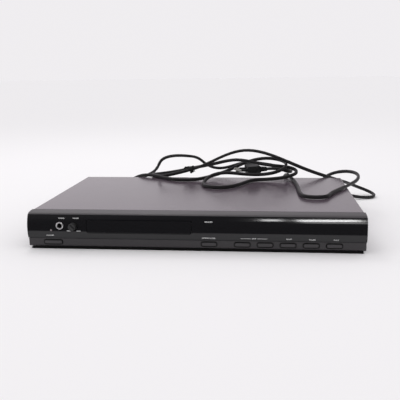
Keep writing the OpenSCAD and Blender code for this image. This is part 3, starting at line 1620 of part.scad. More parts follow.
module plug_pins() {
    color([0.8, 0.76, 0.6])
    at_plug()
        for (y = [-plug_pitch / 2, plug_pitch / 2])
            translate([-plug_neck - plug_body_l + pin_seat, y, 0])
                rotate([0, -90, 0])
                    rotate_extrude()
                        polygon([[0, 0], [plug_pin_r, 0], [plug_pin_r, pin_seat + plug_pin_l - 1.2],
                            [plug_pin_r - 0.9, pin_seat + plug_pin_l], [0, pin_seat + plug_pin_l]]);
}

top_cover();
chassis_pan();
rear_panel();
feet();
cover_screws();
front_bezel();
front_window();
tray_door();
power_button();
open_close_button();
skip_back_button();
skip_forward_button();
stop_button();
pause_button();
play_button();
volume_knob();
volume_spindle();
volume_control();
headphone_socket();
socket_ring();
standby_lamp();
left_key_board();
right_key_board();
key_switches();
display_glass();
infrared_sensor();
loader_frame();
disc_tray();
clamp_bridge();
clamp_puck();
loading_motor();
motor_pulley();
loading_belt();
pulley_gear();
tray_gear();
cam_slide();
traverse_frame();
spindle_motor();
turntable();
guide_rods();
pickup();
pickup_lens();
feed_motor();
feed_motor_pinion();
feed_gear();
main_board();
main_board_parts();
power_board();
power_board_parts();
flat_cables();
board_screws();
phono_sockets();
scart_socket();
svideo_socket();
optical_socket();
strain_relief();
mains_lead();
plug_body();
plug_pins();
lead_tie();
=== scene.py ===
from math import asin, atan2, cos, pi, radians, sin, tan

import bpy
import numpy as np
from mathutils import Matrix, Vector


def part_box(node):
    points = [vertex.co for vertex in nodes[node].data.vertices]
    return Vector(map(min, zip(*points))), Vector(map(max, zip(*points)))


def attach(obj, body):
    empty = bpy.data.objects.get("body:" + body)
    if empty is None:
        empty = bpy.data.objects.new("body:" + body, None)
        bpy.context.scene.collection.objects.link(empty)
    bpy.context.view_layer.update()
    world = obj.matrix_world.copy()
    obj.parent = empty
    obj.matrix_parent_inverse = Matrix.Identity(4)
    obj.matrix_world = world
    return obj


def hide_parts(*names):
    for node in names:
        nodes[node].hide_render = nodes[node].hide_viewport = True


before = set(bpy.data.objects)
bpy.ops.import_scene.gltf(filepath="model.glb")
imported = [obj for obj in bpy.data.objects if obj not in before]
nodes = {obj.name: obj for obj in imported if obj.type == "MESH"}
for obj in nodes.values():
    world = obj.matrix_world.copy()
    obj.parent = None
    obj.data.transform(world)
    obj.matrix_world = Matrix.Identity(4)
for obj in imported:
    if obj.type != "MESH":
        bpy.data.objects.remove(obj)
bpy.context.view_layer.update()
scene = bpy.context.scene


# Camera: it stands a little right of the middle, about 0.75 m in front of the player and
# 0.17 m above its cover, and looks slightly down and to the left.
camera_place = (0.0909, -0.8808, 0.2226)
camera_turn, camera_dip, camera_roll = 6.21, 11.75, -0.78
camera_lens = 55.5
bpy.ops.object.camera_add()
camera = bpy.context.object
camera.data.lens = camera_lens
camera.data.sensor_width = 36
camera.data.clip_end = 60
camera.matrix_world = (Matrix.Translation(camera_place)
                       @ Matrix.Rotation(radians(camera_turn), 4, "Z")
                       @ Matrix.Rotation(radians(90 - camera_dip), 4, "X")
                       @ Matrix.Rotation(radians(camera_roll), 4, "Z"))
scene.camera = camera


# Mains lead: flat twin cable in a soft black jacket, still set in the loops that it was packed in.
# It leaves the bush at the back, loops over the cover and hangs once to the table. Its points run
# from the bush to the plug, and their y is measured back from the face of the front.
lead_width, lead_thickness = 0.0056, 0.0048
face_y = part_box("front_window")[0][1]
rear_y, bush_length = 0.2742, 0.032
bush_out = (0.172, rear_y + bush_length, 0.024)
plug_entry = (0.092, 0.264, 0.065)
plug_turn, straight_end = radians(12), 0.012
lead_points = [
    bush_out,
    (0.172, 0.324, 0.024), (0.161, 0.346, 0.018), (0.145, 0.351, 0.015), (0.129, 0.343, 0.0175),
    (0.12, 0.317, 0.031), (0.124, 0.287, 0.0515), (0.132, 0.251, 0.052), (0.137, 0.208, 0.0515),
    (0.139, 0.155, 0.0515), (0.141, 0.119, 0.0515), (0.146, 0.105, 0.0515), (0.159, 0.099, 0.0515),
    (0.173, 0.104, 0.0515), (0.18, 0.119, 0.0515), (0.192, 0.147, 0.0515), (0.207, 0.176, 0.0515),
    (0.221, 0.203, 0.052), (0.235, 0.234, 0.0545), (0.235, 0.27, 0.058), (0.212, 0.297, 0.055),
    (0.19, 0.319, 0.0395), (0.191, 0.332, 0.0285), (0.211, 0.343, 0.015), (0.247, 0.338, 0.005),
    (0.263, 0.338, 0.0035), (0.276, 0.344, 0.003), (0.282, 0.355, 0.0035), (0.281, 0.368, 0.005),
    (0.272, 0.378, 0.0085), (0.258, 0.378, 0.014), (0.243, 0.363, 0.022), (0.216, 0.318, 0.037),
    (0.194, 0.288, 0.048),
    (0.161, 0.275, 0.061), (0.127, 0.272, 0.0755), (0.091, 0.271, 0.0895), (0.055, 0.271, 0.0945),
    (0.018, 0.271, 0.084), (-0.01, 0.27, 0.071), (-0.032, 0.269, 0.063), (-0.058, 0.268, 0.0565),
    (-0.086, 0.271, 0.0515), (-0.1, 0.283, 0.051), (-0.101, 0.299, 0.0495), (-0.088, 0.313, 0.049),
    (-0.06, 0.312, 0.0535), (-0.026, 0.297, 0.0625), (0.008, 0.282, 0.0715), (0.042, 0.28, 0.0775),
    (0.082, 0.283, 0.0705), (0.119, 0.28, 0.0665), (0.132, 0.275, 0.065), (0.14, 0.263, 0.062),
    (0.138, 0.25, 0.0595), (0.126, 0.24, 0.0565), (0.103, 0.238, 0.053),
    (0.072, 0.232, 0.0515), (0.058, 0.21, 0.0515), (0.046, 0.187, 0.0515), (0.032, 0.172, 0.0515),
    (0.015, 0.169, 0.0515), (0, 0.18, 0.0515), (-0.006, 0.197, 0.0515), (-0.004, 0.216, 0.0545),
    (0.005, 0.232, 0.059), (0.021, 0.239, 0.062), (0.046, 0.237, 0.0615), (0.08, 0.236, 0.06),
    (0.112, 0.249, 0.064), (0.124, 0.272, 0.0705), (0.117, 0.293, 0.0745), (0.092, 0.303, 0.077),
    (0.058, 0.294, 0.0715), (0.033, 0.269, 0.0635), (0.002, 0.249, 0.055), (-0.032, 0.233, 0.0515),
    (-0.056, 0.237, 0.0515), (-0.085, 0.261, 0.0515), (-0.117, 0.279, 0.051), (-0.14, 0.301, 0.04),
    (-0.141, 0.317, 0.037), (-0.133, 0.33, 0.038), (-0.119, 0.332, 0.043), (-0.106, 0.323, 0.051),
    (-0.097, 0.313, 0.062), (-0.089, 0.307, 0.0735), (-0.07, 0.306, 0.0805),
    (-0.045, 0.307, 0.0805), (-0.025, 0.308, 0.076), (-0.012, 0.307, 0.0665),
    (0.002, 0.306, 0.0605), (0.022, 0.306, 0.0605), (0.054, 0.306, 0.069), (0.092, 0.309, 0.066),
    (0.114, 0.309, 0.0615), (0.127, 0.302, 0.0585), (0.133, 0.29, 0.0575), (0.129, 0.277, 0.0585),
    (0.117, 0.27, 0.0625),
    (plug_entry[0] + straight_end * cos(plug_turn), plug_entry[1] + straight_end * sin(plug_turn),
     plug_entry[2]),
    plug_entry,
]
lead_points = [Vector(p) + Vector((0, face_y, 0)) for p in lead_points]


def smooth_line(points, steps):
    """A natural cubic spline through all the points, with so many steps from one to the next."""
    p = np.array(points)
    gap = np.linalg.norm(np.diff(p, axis=0), axis=1)
    rows, sums = np.eye(len(p)), np.zeros((len(p), 3))
    for i in range(1, len(p) - 1):
        rows[i, i - 1:i + 2] = gap[i - 1], 2 * (gap[i - 1] + gap[i]), gap[i]
        sums[i] = 6 * ((p[i + 1] - p[i]) / gap[i] - (p[i] - p[i - 1]) / gap[i - 1])
    bend = np.linalg.solve(rows, sums)
    line = []
    for i in range(len(p) - 1):
        for t in (k / steps for k in range(steps)):
            u = 1 - t
            sag = gap[i] ** 2 / 6 * ((u ** 3 - u) * bend[i] + (t ** 3 - t) * bend[i + 1])
            line.append(Vector(u * p[i] + t * p[i + 1] + sag))
    return line + [points[-1]]


def ways_along(line):
    """The direction of a line at each of its points."""
    last = len(line) - 1
    return [(line[min(i + 1, last)] - line[max(i - 1, 0)]).normalized() for i in range(last + 1)]


def untwisted_sides(line, side):
    """A side vector for each point of a line, carried on from the first without any twist."""
    sides = []
    for way in ways_along(line):
        side = (side - side.dot(way) * way).normalized()
        sides.append(side)
    return sides


def easy_bend_sides(line, side, reach, level_pull=3):
    """Sides for a flat lead, which turns until each bend goes over its thin way. Its ends are pulled
    level, and the wish for the easy way is shared out over so many points each way."""
    sides, ways, last = untwisted_sides(line, side), ways_along(line), len(line) - 1
    wish = []
    for i, (side, way) in enumerate(zip(sides, ways)):
        broad = way.cross(ways[min(i + 2, last)] - ways[max(i - 2, 0)])
        if min(i, last - i) < reach:
            broad = Vector((-way.y, way.x, 0)) * level_pull
        turn = atan2(broad.dot(side.cross(way)), broad.dot(side))
        wish.append((broad.length * cos(2 * turn), broad.length * sin(2 * turn)))
    share = np.exp(-np.linspace(-2, 2, 2 * reach + 1) ** 2)
    even = [np.convolve(np.pad(part, reach, mode="edge"), share, mode="valid") for part in zip(*wish)]
    turns = np.unwrap(np.arctan2(even[1], even[0])) / 2
    return [side * cos(turn) + side.cross(way) * sin(turn) for side, way, turn in zip(sides, ways, turns)]


def lay_tube(name, line, section, sides):
    """Sweeps a closed section along a line, with its broad side as given at each point."""
    mesh = bpy.data.meshes.new(name)
    rings, faces = [], []
    m, n = len(section), len(line)
    for i, (place, way, side) in enumerate(zip(line, ways_along(line), sides)):
        rise = side.cross(way)
        rings += [place + side * s + rise * h for s, h in section]
        if i:
            faces += [((i - 1) * m + j, i * m + j, i * m + (j + 1) % m, (i - 1) * m + (j + 1) % m)
                      for j in range(m)]
    faces += [tuple(range(m)), tuple(reversed(range((n - 1) * m, n * m)))]
    mesh.from_pydata([tuple(p) for p in rings], [], faces)
    mesh.shade_smooth()
    tube = bpy.data.objects.new(name, mesh)
    scene.collection.objects.link(tube)
    return tube


def new_finish(name):
    """A new material, its node tree, its shader, and a texture space that rides with the piece."""
    finish = bpy.data.materials.new(name)
    finish.use_nodes = True
    tree = finish.node_tree
    where = tree.nodes.new("ShaderNodeTexCoord")
    return finish, tree, tree.nodes["Principled BSDF"], where.outputs["Object"]


def mottling(tree, where, scale, detail=2):
    """A soft uneven pattern; a larger scale makes smaller patches."""
    mottle = tree.nodes.new("ShaderNodeTexNoise")
    mottle.inputs["Scale"].default_value = scale
    mottle.inputs["Detail"].default_value = detail
    tree.links.new(where, mottle.inputs["Vector"])
    return mottle.outputs["Fac"]


def drift_colour(tree, shader, pattern, colour, darkest, palest, start=0, end=1):
    """The colour drifts with a pattern between two shades of itself."""
    shades = tree.nodes.new("ShaderNodeValToRGB")
    for stop, place, share in zip(shades.color_ramp.elements, (start, end), (darkest, palest)):
        stop.position = place
        stop.color = (*[min(c * share, 1) for c in colour], 1)
    tree.links.new(pattern, shades.inputs["Fac"])
    tree.links.new(shades.outputs["Color"], shader.inputs["Base Color"])


def drift_gloss(tree, shader, pattern, smoothest, dullest):
    """The roughness drifts with a pattern between two values."""
    gloss = tree.nodes.new("ShaderNodeMapRange")
    gloss.inputs["To Min"].default_value = smoothest
    gloss.inputs["To Max"].default_value = dullest
    tree.links.new(pattern, gloss.inputs["Value"])
    tree.links.new(gloss.outputs["Result"], shader.inputs["Roughness"])


def relief(tree, shader, heights, strength, depth=0.0001):
    """The surface looks raised where the heights are large."""
    bump = tree.nodes.new("ShaderNodeBump")
    bump.inputs["Strength"].default_value = strength
    bump.inputs["Distance"].default_value = depth
    tree.links.new(heights, bump.inputs["Height"])
    tree.links.new(bump.outputs["Normal"], shader.inputs["Normal"])


def soft_jacket(name, colour, roughness):
    """Soft cable plastic: a faint sheen that varies along it and a fine pebbled skin."""
    finish, tree, shader, where = new_finish(name)
    shader.inputs["Specular IOR Level"].default_value = 0.3
    patches = mottling(tree, where, scale=60, detail=3)
    drift_colour(tree, shader, patches, colour, darkest=0.8, palest=1.25)
    drift_gloss(tree, shader, patches, smoothest=roughness - 0.06, dullest=roughness + 0.1)
    relief(tree, shader, mottling(tree, where, scale=2500), strength=0.15)
    return finish


core_offset = (lead_width - lead_thickness) / 2
groove_share, arc_step, arc_points = 0.36, 15, 11
lead_section = []
for side, start in ((1, -75), (-1, 105)):
    lead_section += [(side * core_offset + lead_thickness / 2 * cos(radians(start + arc_step * k)),
                      lead_thickness / 2 * sin(radians(start + arc_step * k))) for k in range(arc_points)]
    lead_section.append((0, side * groove_share * lead_thickness))
lead_line = smooth_line(lead_points, steps=5)
lead_sides = easy_bend_sides(lead_line, Vector((1, 0, 0)), reach=8)
lead = lay_tube("mains_lead_jacket", lead_line, lead_section, lead_sides)
lead_black = soft_jacket("lead_black", (0.014, 0.0125, 0.014), 0.45)
lead.data.materials.append(lead_black)
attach(lead, "player")
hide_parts("mains_lead")


# Twist tie: a dark plastic ribbon left on the lead where two of its runs were held together in
# the box. It goes round the lead, and its two ends are twisted and lie along the lead.
tie_point = 40
tie_turns, tie_spread, tie_slack = 4, 0.0088, 0.45
tie_reach, tie_curl, tie_twist = 0.0085, 0.0011, 9
tie_wrap = (lead_width / 2 + 0.0009, lead_thickness / 2 + 0.0017)
ribbon_half = (0.00135, 0.0005)
wrap_angle, wrap_steps, end_steps, ribbon_sides = 2 * pi * tie_turns, 96, 20, 16
tie_way = (lead_points[tie_point + 1] - lead_points[tie_point - 1]).normalized()
tie_up = (Vector((0, 0, 1)) - tie_way.z * tie_way).normalized()
tie_side = tie_up.cross(tie_way)


def tie_place(across, up, along):
    """A point beside the lead where the tie sits on it."""
    return lead_points[tie_point] + across * tie_side + up * tie_up + along * tie_way


def tie_end(phase, along, start):
    """One twisted end, from the wrap on to its tip."""
    return [tie_place(tie_curl * t * cos(phase + tie_twist * t),
                      start + tie_curl * t * sin(phase + tie_twist * t),
                      along + tie_reach * t)
            for t in (k / end_steps for k in range(1, end_steps + 1))]


def tie_swell(turned):
    """The wrap is tight at its first turn and looser at its last."""
    return 1 + tie_slack * turned / wrap_angle


wrap = [tie_place(tie_wrap[0] * tie_swell(a) * sin(a), tie_wrap[1] * tie_swell(a) * cos(a),
                  tie_spread * (a / wrap_angle - 0.5))
        for a in (wrap_angle * k / wrap_steps for k in range(wrap_steps + 1))]
tie_line = (tie_end(0, -tie_spread / 2, tie_wrap[1])[::-1] + wrap
            + tie_end(pi, tie_spread / 2, tie_wrap[1] * tie_swell(wrap_angle)))
tie_section = [(ribbon_half[0] * cos(a), ribbon_half[1] * sin(a))
               for a in (2 * pi * k / ribbon_sides for k in range(ribbon_sides))]
tie = lay_tube("twist_tie", tie_line, tie_section, untwisted_sides(tie_line, tie_side))
tie.data.materials.append(soft_jacket("tie_black", (0.012, 0.012, 0.013), 0.45))
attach(tie, "player")
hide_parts("lead_tie")


# Plug and bush: both are moulded on to the lead in black plastic. The rear half of each nickelled
# pin has an insulating sleeve, slightly thicker than its bare end.
def bare_metal(name, colour, roughness, brushed=1):
    """Bare metal: brushed stretches the scratches along X by that factor, 1 leaves them round."""
    finish, tree, shader, where = new_finish(name)
    shader.inputs["Metallic"].default_value = 1
    along = tree.nodes.new("ShaderNodeMapping")
    along.inputs["Scale"].default_value = (1 / brushed, 1, 1)
    tree.links.new(where, along.inputs["Vector"])
    marks = mottling(tree, along.outputs["Vector"], scale=900, detail=4)
    drift_colour(tree, shader, marks, colour, darkest=0.88, palest=1.08)
    drift_gloss(tree, shader, marks, smoothest=roughness - 0.07, dullest=roughness + 0.1)
    relief(tree, shader, marks, strength=0.08)
    return finish


def dress(finish, *names):
    """Gives solids of the frame their finish."""
    for name in names:
        nodes[name].data.materials.clear()
        nodes[name].data.materials.append(finish)


plug_neck, plug_length, pin_pitch, pin_r = 0.012, 0.022, 0.0186, 0.002
sleeve_length, sleeve_wall, sleeve_root, sleeve_edge = 0.0098, 0.00015, 0.0005, 0.0001
sleeve_reach = plug_neck + plug_length + sleeve_length / 2 - sleeve_root
plug_way = Vector((cos(plug_turn), sin(plug_turn), 0))
plug_side = Vector((-sin(plug_turn), cos(plug_turn), 0))
plug_black = soft_jacket("plug_black", (0.009, 0.009, 0.01), 0.55)
pin_nickel = bare_metal("pin_nickel", (0.5, 0.49, 0.46), 0.35)
dress(plug_black, "strain_relief", "plug_body")
dress(pin_nickel, "plug_pins")
for name, side in (("pin_sleeve_front", -1), ("pin_sleeve_back", 1)):
    bpy.ops.object.select_all(action="DESELECT")
    bpy.ops.mesh.primitive_cylinder_add(vertices=32, radius=pin_r + sleeve_wall,
                                        depth=sleeve_length + 2 * sleeve_root)
    sleeve = bpy.context.object
    sleeve.name = name
    sleeve.rotation_euler = (0, pi / 2, 0)
    bpy.ops.object.transform_apply(rotation=True)
    trim = sleeve.modifiers.new("trim", "BEVEL")
    trim.width, trim.segments = sleeve_edge, 2
    bpy.ops.object.modifier_apply(modifier="trim")
    sleeve.location = lead_points[-1] - sleeve_reach * plug_way + side * pin_pitch / 2 * plug_side
    sleeve.rotation_euler = (0, 0, plug_turn)
    bpy.ops.object.transform_apply(location=True, rotation=True)
    bpy.ops.object.shade_smooth_by_angle(angle=radians(35))
    sleeve.data.materials.append(plug_black)
    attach(sleeve, "player")


# Top cover, chassis and rear panel: folded steel sheet, held by screws at the sides and the rear.
# The cover is stove-enamelled dark grey with a fine matt grain, the rear panel is black with a
# coarser one, and the chassis keeps its zinc.
def grained_paint(name, colour, roughness, grain, strength):
    """Baked paint: slow colour drift and a fine raised grain of the given size in metres."""
    finish, tree, shader, where = new_finish(name)
    shader.inputs["Roughness"].default_value = roughness
    drift = mottling(tree, where, scale=9, detail=4)
    drift_colour(tree, shader, drift, colour, darkest=0.93, palest=1.07, start=0.3, end=0.7)
    speckle = tree.nodes.new("ShaderNodeTexVoronoi")
    speckle.inputs["Scale"].default_value = 1 / grain
    tree.links.new(where, speckle.inputs["Vector"])
    relief(tree, shader, speckle.outputs["Distance"], strength)
    return finish


cover_grey = grained_paint("cover_grey", (0.086, 0.066, 0.083), 0.2, grain=0.0005, strength=0.08)
rear_black = grained_paint("rear_black", (0.035, 0.035, 0.037), 0.5, grain=0.0006, strength=0.3)
zinc_sheet = bare_metal("zinc_sheet", (0.62, 0.63, 0.65), 0.38)
dress(cover_grey, "top_cover")
dress(rear_black, "rear_panel")
dress(zinc_sheet, "chassis_pan")


# Front panel, feet and cover screws: the front is moulded in black styrene with a satin skin. Above the
# window the moulding has a paler grey, partly the top strip's own grey and partly painted light on its
# upward-facing strip. The feet are soft rubber, glued on, and the screws are blackened.
def moulded_plastic(name, colour, roughness, grain=0.0004, strength=0.12, shine=0.5):
    """Moulded plastic: a fine spark-eroded grain and a gloss that drifts a little."""
    finish, tree, shader, where = new_finish(name)
    shader.inputs["Specular IOR Level"].default_value = shine
    drift = mottling(tree, where, scale=25, detail=5)
    drift_colour(tree, shader, drift, colour, darkest=0.9, palest=1.1)
    drift_gloss(tree, shader, drift, smoothest=roughness - 0.05, dullest=roughness + 0.07)
    relief(tree, shader, mottling(tree, where, scale=1 / grain), strength, depth=0.00008)
    return finish


def paler_above(finish, height, colour):
    """Gives a moulding a paler shade above a height; here it is partly painted light on the top strip."""
    tree, shader = finish.node_tree, finish.node_tree.nodes["Principled BSDF"]
    below = shader.inputs["Base Color"].links[0].from_socket
    where = tree.nodes.new("ShaderNodeTexCoord")
    heights = tree.nodes.new("ShaderNodeSeparateXYZ")
    tree.links.new(where.outputs["Object"], heights.inputs["Vector"])
    above = tree.nodes.new("ShaderNodeMath")
    above.operation = "GREATER_THAN"
    above.inputs[1].default_value = height
    tree.links.new(heights.outputs["Z"], above.inputs[0])
    mix = tree.nodes.new("ShaderNodeMixRGB")
    mix.inputs["Color2"].default_value = (*colour, 1)
    tree.links.new(above.outputs["Value"], mix.inputs["Fac"])
    tree.links.new(below, mix.inputs["Color1"])
    tree.links.new(mix.outputs["Color"], shader.inputs["Base Color"])


# The paler grey above strip_foot is partly the strip's own grey and partly painted light on its upward face.
strip_foot, strip_grey_and_light = 0.035, (0.055, 0.05, 0.055)
front_black = moulded_plastic("front_black", (0.022, 0.019, 0.022), 0.48, shine=0.6)
paler_above(front_black, strip_foot, strip_grey_and_light)
foot_rubber = moulded_plastic("foot_rubber", (0.018, 0.018, 0.018), 0.75, grain=0.0008, strength=0.3)
part_black = moulded_plastic("part_black", (0.02, 0.02, 0.021), 0.5)
dress(front_black, "front_bezel")
dress(foot_rubber, "feet")
dress(part_black, "cover_screws")


# Headphone socket and volume control: a black socket body behind a nickelled ring, and a zinc-cased
# control whose steel spindle carries a push-on black knob.
knob_black = moulded_plastic("knob_black", (0.016, 0.016, 0.017), 0.42)
ring_nickel = bare_metal("ring_nickel", (0.66, 0.65, 0.66), 0.36)
bright_steel = bare_metal("bright_steel", (0.8, 0.81, 0.83), 0.15)
dress(part_black, "headphone_socket")
dress(ring_nickel, "socket_ring")
dress(zinc_sheet, "volume_control")
dress(bright_steel, "volume_spindle")
dress(knob_black, "volume_knob")


# Disc loader: a grey moulded frame holds the black tray, and white gears, a rubber belt and a cam
# slide drive it. The dark traverse under the tray carries turntable, rods and pickup, and turned
# brass wheels sit on the motors' shafts.
tray_black = moulded_plastic("tray_black", (0.022, 0.022, 0.024), 0.35)
frame_grey = moulded_plastic("frame_grey", (0.3, 0.3, 0.29), 0.5)
gear_white = moulded_plastic("gear_white", (0.75, 0.75, 0.7), 0.42)
dark_grey = moulded_plastic("dark_grey", (0.05, 0.05, 0.052), 0.48)
motor_metal = bare_metal("motor_metal", (0.66, 0.67, 0.68), 0.28, brushed=30)
turned_brass = bare_metal("turned_brass", (0.75, 0.58, 0.3), 0.25)
dress(frame_grey, "loader_frame")
dress(tray_black, "disc_tray")
dress(gear_white, "pulley_gear", "tray_gear", "feed_gear", "cam_slide")
dress(foot_rubber, "loading_belt")
dress(dark_grey, "traverse_frame", "turntable", "clamp_puck", "pickup")
dress(zinc_sheet, "clamp_bridge")
dress(motor_metal, "loading_motor", "spindle_motor", "feed_motor")
dress(turned_brass, "motor_pulley", "feed_motor_pinion")
dress(bright_steel, "guide_rods")


# Circuit boards: green glass-fibre boards for the keys and the player, and a tan paper board for the
# power supply. Black parts are soldered on, steel screws hold the boards, and flat white cables
# join them.
board_green = moulded_plastic("board_green", (0.03, 0.14, 0.06), 0.35)
board_tan = moulded_plastic("board_tan", (0.4, 0.27, 0.12), 0.55)
cable_white = moulded_plastic("cable_white", (0.72, 0.72, 0.7), 0.45)
dress(board_green, "left_key_board", "right_key_board", "main_board")
dress(board_tan, "power_board")
dress(part_black, "key_switches", "infrared_sensor", "main_board_parts", "power_board_parts")
dress(bright_steel, "board_screws")
dress(cable_white, "flat_cables")


# Front window and tray door: smoked acrylic, polished, bowed from top to bottom. The door is
# moulded from the same sheet and clips to the tray. The display glass, the standby lamp and the
# pickup's lens are small clear mouldings.
def polished_acrylic(name, colour, lean=0):
    """Smoked acrylic with the faintest haze; lean turns what it mirrors up by that angle."""
    finish, tree, shader, where = new_finish(name)
    shader.inputs["Base Color"].default_value = (*colour, 1)
    drift_gloss(tree, shader, mottling(tree, where, scale=14, detail=6), smoothest=0.05, dullest=0.13)
    slope = tree.nodes.new("ShaderNodeVectorMath")
    slope.operation = "DOT_PRODUCT"
    slope.inputs[1].default_value = (0, 0, -tan(lean))
    tree.links.new(where, slope.inputs[0])
    relief(tree, shader, slope.outputs["Value"], strength=1, depth=1)
    return finish


smoke_black = (0.004, 0.004, 0.005)
window_black = polished_acrylic("window_black", smoke_black, lean=radians(11.5))
door_black = polished_acrylic("door_black", smoke_black, lean=radians(13.4))
display_green = polished_acrylic("display_green", (0.02, 0.03, 0.03))
lamp_smoke = polished_acrylic("lamp_smoke", (0.2, 0.165, 0.175))
lens_blue = polished_acrylic("lens_blue", (0.05, 0.07, 0.2))
dress(window_black, "front_window")
dress(door_black, "tray_door")
dress(display_green, "display_glass")
dress(lamp_smoke, "standby_lamp")
dress(lens_blue, "pickup_lens")


# Lettering: plain function words in pale grey ink, screen-printed on the window and on the band.
# Each word is flat and leans with the bowed face at its height.
bow_radius, bow_height = 0.0385, 0.027
word_height, line_height, ink_depth, first_depth = 0.00155, 0.0003, 0.00004, 0.02


def printed(name, words, x, z, width, height=word_height):
    """A word of the given size, in metres, printed round a point of the face."""
    bpy.ops.object.select_all(action="DESELECT")
    bpy.ops.object.text_add()
    word = bpy.context.object
    word.name = name
    word.data.body = words
    word.data.extrude = first_depth
    bpy.ops.object.convert(target="MESH")
    bpy.ops.object.origin_set(type="ORIGIN_GEOMETRY", center="BOUNDS")
    word.scale = (width / word.dimensions.x, height / word.dimensions.y, 2 * ink_depth / word.dimensions.z)
    lean = asin((z - bow_height) / bow_radius)
    word.rotation_euler = (pi / 2 - lean, 0, 0)
    word.location = (x, face_y + bow_radius * (1 - cos(lean)) - ink_depth / 2, z)
    bpy.ops.object.transform_apply(location=True, rotation=True, scale=True)
    return word


words = [printed(*w) for w in (
    ("word_phones", "PHONES", -0.1696, 0.0409, 0.0076),
    ("word_volume", "VOLUME", -0.1511, 0.0411, 0.008),
    ("word_min", "MIN", -0.1602, 0.0249, 0.0044),
    ("word_max", "MAX", -0.147, 0.0248, 0.0052),
    ("word_standby", "STANDBY", -0.185, 0.0186, 0.0105),
    ("word_sensor", "SENSOR", 0.0201, 0.0385, 0.01),
    ("word_open", "OPEN/CLOSE", 0.0199, 0.0178, 0.017),
    ("word_skip", "SKIP", 0.0768, 0.0178, 0.0052),
    ("word_stop", "STOP", 0.12, 0.0178, 0.0066),
    ("word_pause", "PAUSE", 0.1485, 0.0175, 0.0078),
    ("word_play", "PLAY", 0.1778, 0.0176, 0.0062),
    ("line_left", "-", 0.0665, 0.0178, 0.0125, line_height),
    ("line_right", "-", 0.0871, 0.0178, 0.0125, line_height))]
ink = moulded_plastic("pale_ink", (0.8, 0.8, 0.8), 0.5)
for word in words:
    word.data.materials.append(ink)
    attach(word, "player")


# Keys: moulded black caps that slide in the lower band and press on the switches behind them. Round
# every key a thin matt near-black rim stands just proud of the band, as painted shade for the gap round
# the key. A bevelled crown on each cap catches light along the upper edge. The crown is a paler black
# than the cap: painted light on the key's face, and painted shade at the cap's edges.
band_face, key_slit = face_y + 0.0033, 0.00045
flange_sides, flange_ends = 0.0011, 0.0008
rim_width, rim_rise, rim_root, rim_corners = 0.0004, 0.0003, 0.0002, (0.0023, 0.0014)
crown_margin, crown_corners, crown_edge = 0.001, (0.0018, 0.0009), 0.0007
crown_thickness, crown_rise = 0.0012, 0.0005


def key_cap(key):
    """The middle of a cap's face, its width and its height, without the flange that holds it in."""
    low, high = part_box(key)
    middle = ((low[0] + high[0]) / 2, low[1], (low[2] + high[2]) / 2)
    return middle, high[0] - low[0] - 2 * flange_sides, high[2] - low[2] - 2 * flange_ends


def rounded_plate(name, width, height, low_r, high_r):
    """One upright face with round corners, looking towards the front."""
    bpy.ops.object.select_all(action="DESELECT")
    bpy.ops.mesh.primitive_plane_add(size=1, rotation=(pi / 2, 0, 0))
    plate = bpy.context.object
    plate.name = name
    plate.scale = (width, height, 1)
    bpy.ops.object.transform_apply(rotation=True, scale=True)
    for above, r in ((False, low_r), (True, high_r)):
        for v in plate.data.vertices:
            v.select = abs(abs(v.co.x) - width / 2) < 1e-6 and (v.co.z > 0) == above
        bpy.ops.object.mode_set(mode="EDIT")
        bpy.ops.mesh.select_mode(type="VERT")
        bpy.ops.mesh.bevel(offset=r, segments=6, affect="VERTICES")
        bpy.ops.mesh.select_all(action="DESELECT")
        bpy.ops.object.mode_set(mode="OBJECT")
    return plate


def applied(piece, kind, **settings):
    """Adds a modifier to the chosen piece, sets it and applies it."""
    change = piece.modifiers.new(kind.lower(), kind)
    for setting, value in settings.items():
        setattr(change, setting, value)
    bpy.ops.object.modifier_apply(modifier=change.name)


# The cap's near-black is painted shade at the key's edges, the crown's paler black is painted light on its
# face, and the rims' near-black is painted shade round each key.
key_black_shaded = moulded_plastic("key_black_shaded", (0.006, 0.006, 0.006), 0.5, shine=0.2)
painted_shade_black = moulded_plastic("painted_shade_black", (0.004, 0.004, 0.004), 0.7, shine=0.1)
crown_black_lit = moulded_plastic("crown_black_lit", (0.032, 0.029, 0.032), 0.3)
for name in ("power", "open_close", "skip_back", "skip_forward", "stop", "pause", "play"):
    dress(key_black_shaded, name + "_button")
    (x, key_face, z), width, height = key_cap(name + "_button")
    outer = key_slit + rim_width
    rim = rounded_plate(name + "_rim", width + 2 * outer, height + 2 * outer,
                        rim_corners[0] + outer, rim_corners[1] + outer)
    bpy.ops.object.mode_set(mode="EDIT")
    bpy.ops.mesh.select_all(action="SELECT")
    bpy.ops.mesh.inset(thickness=rim_width)
    bpy.ops.mesh.delete(type="FACE")
    bpy.ops.object.mode_set(mode="OBJECT")
    applied(rim, "SOLIDIFY", thickness=rim_rise + rim_root, offset=-1)
    rim.location = (x, band_face - rim_rise, z)
    bpy.ops.object.transform_apply(location=True)
    rim.data.materials.append(painted_shade_black)
    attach(rim, "player")
    crown = rounded_plate(name + "_crown", width - crown_margin, height - crown_margin, *crown_corners)
    applied(crown, "SOLIDIFY", thickness=crown_thickness, offset=-1)
    applied(crown, "BEVEL", width=crown_edge, segments=3, limit_method="ANGLE", angle_limit=radians(60))
    bpy.ops.object.shade_smooth_by_angle(angle=radians(40))
    crown.location = (x, key_face - crown_rise, z)
    bpy.ops.object.transform_apply(location=True)
    crown.data.materials.append(crown_black_lit)
    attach(crown, name + "_button")


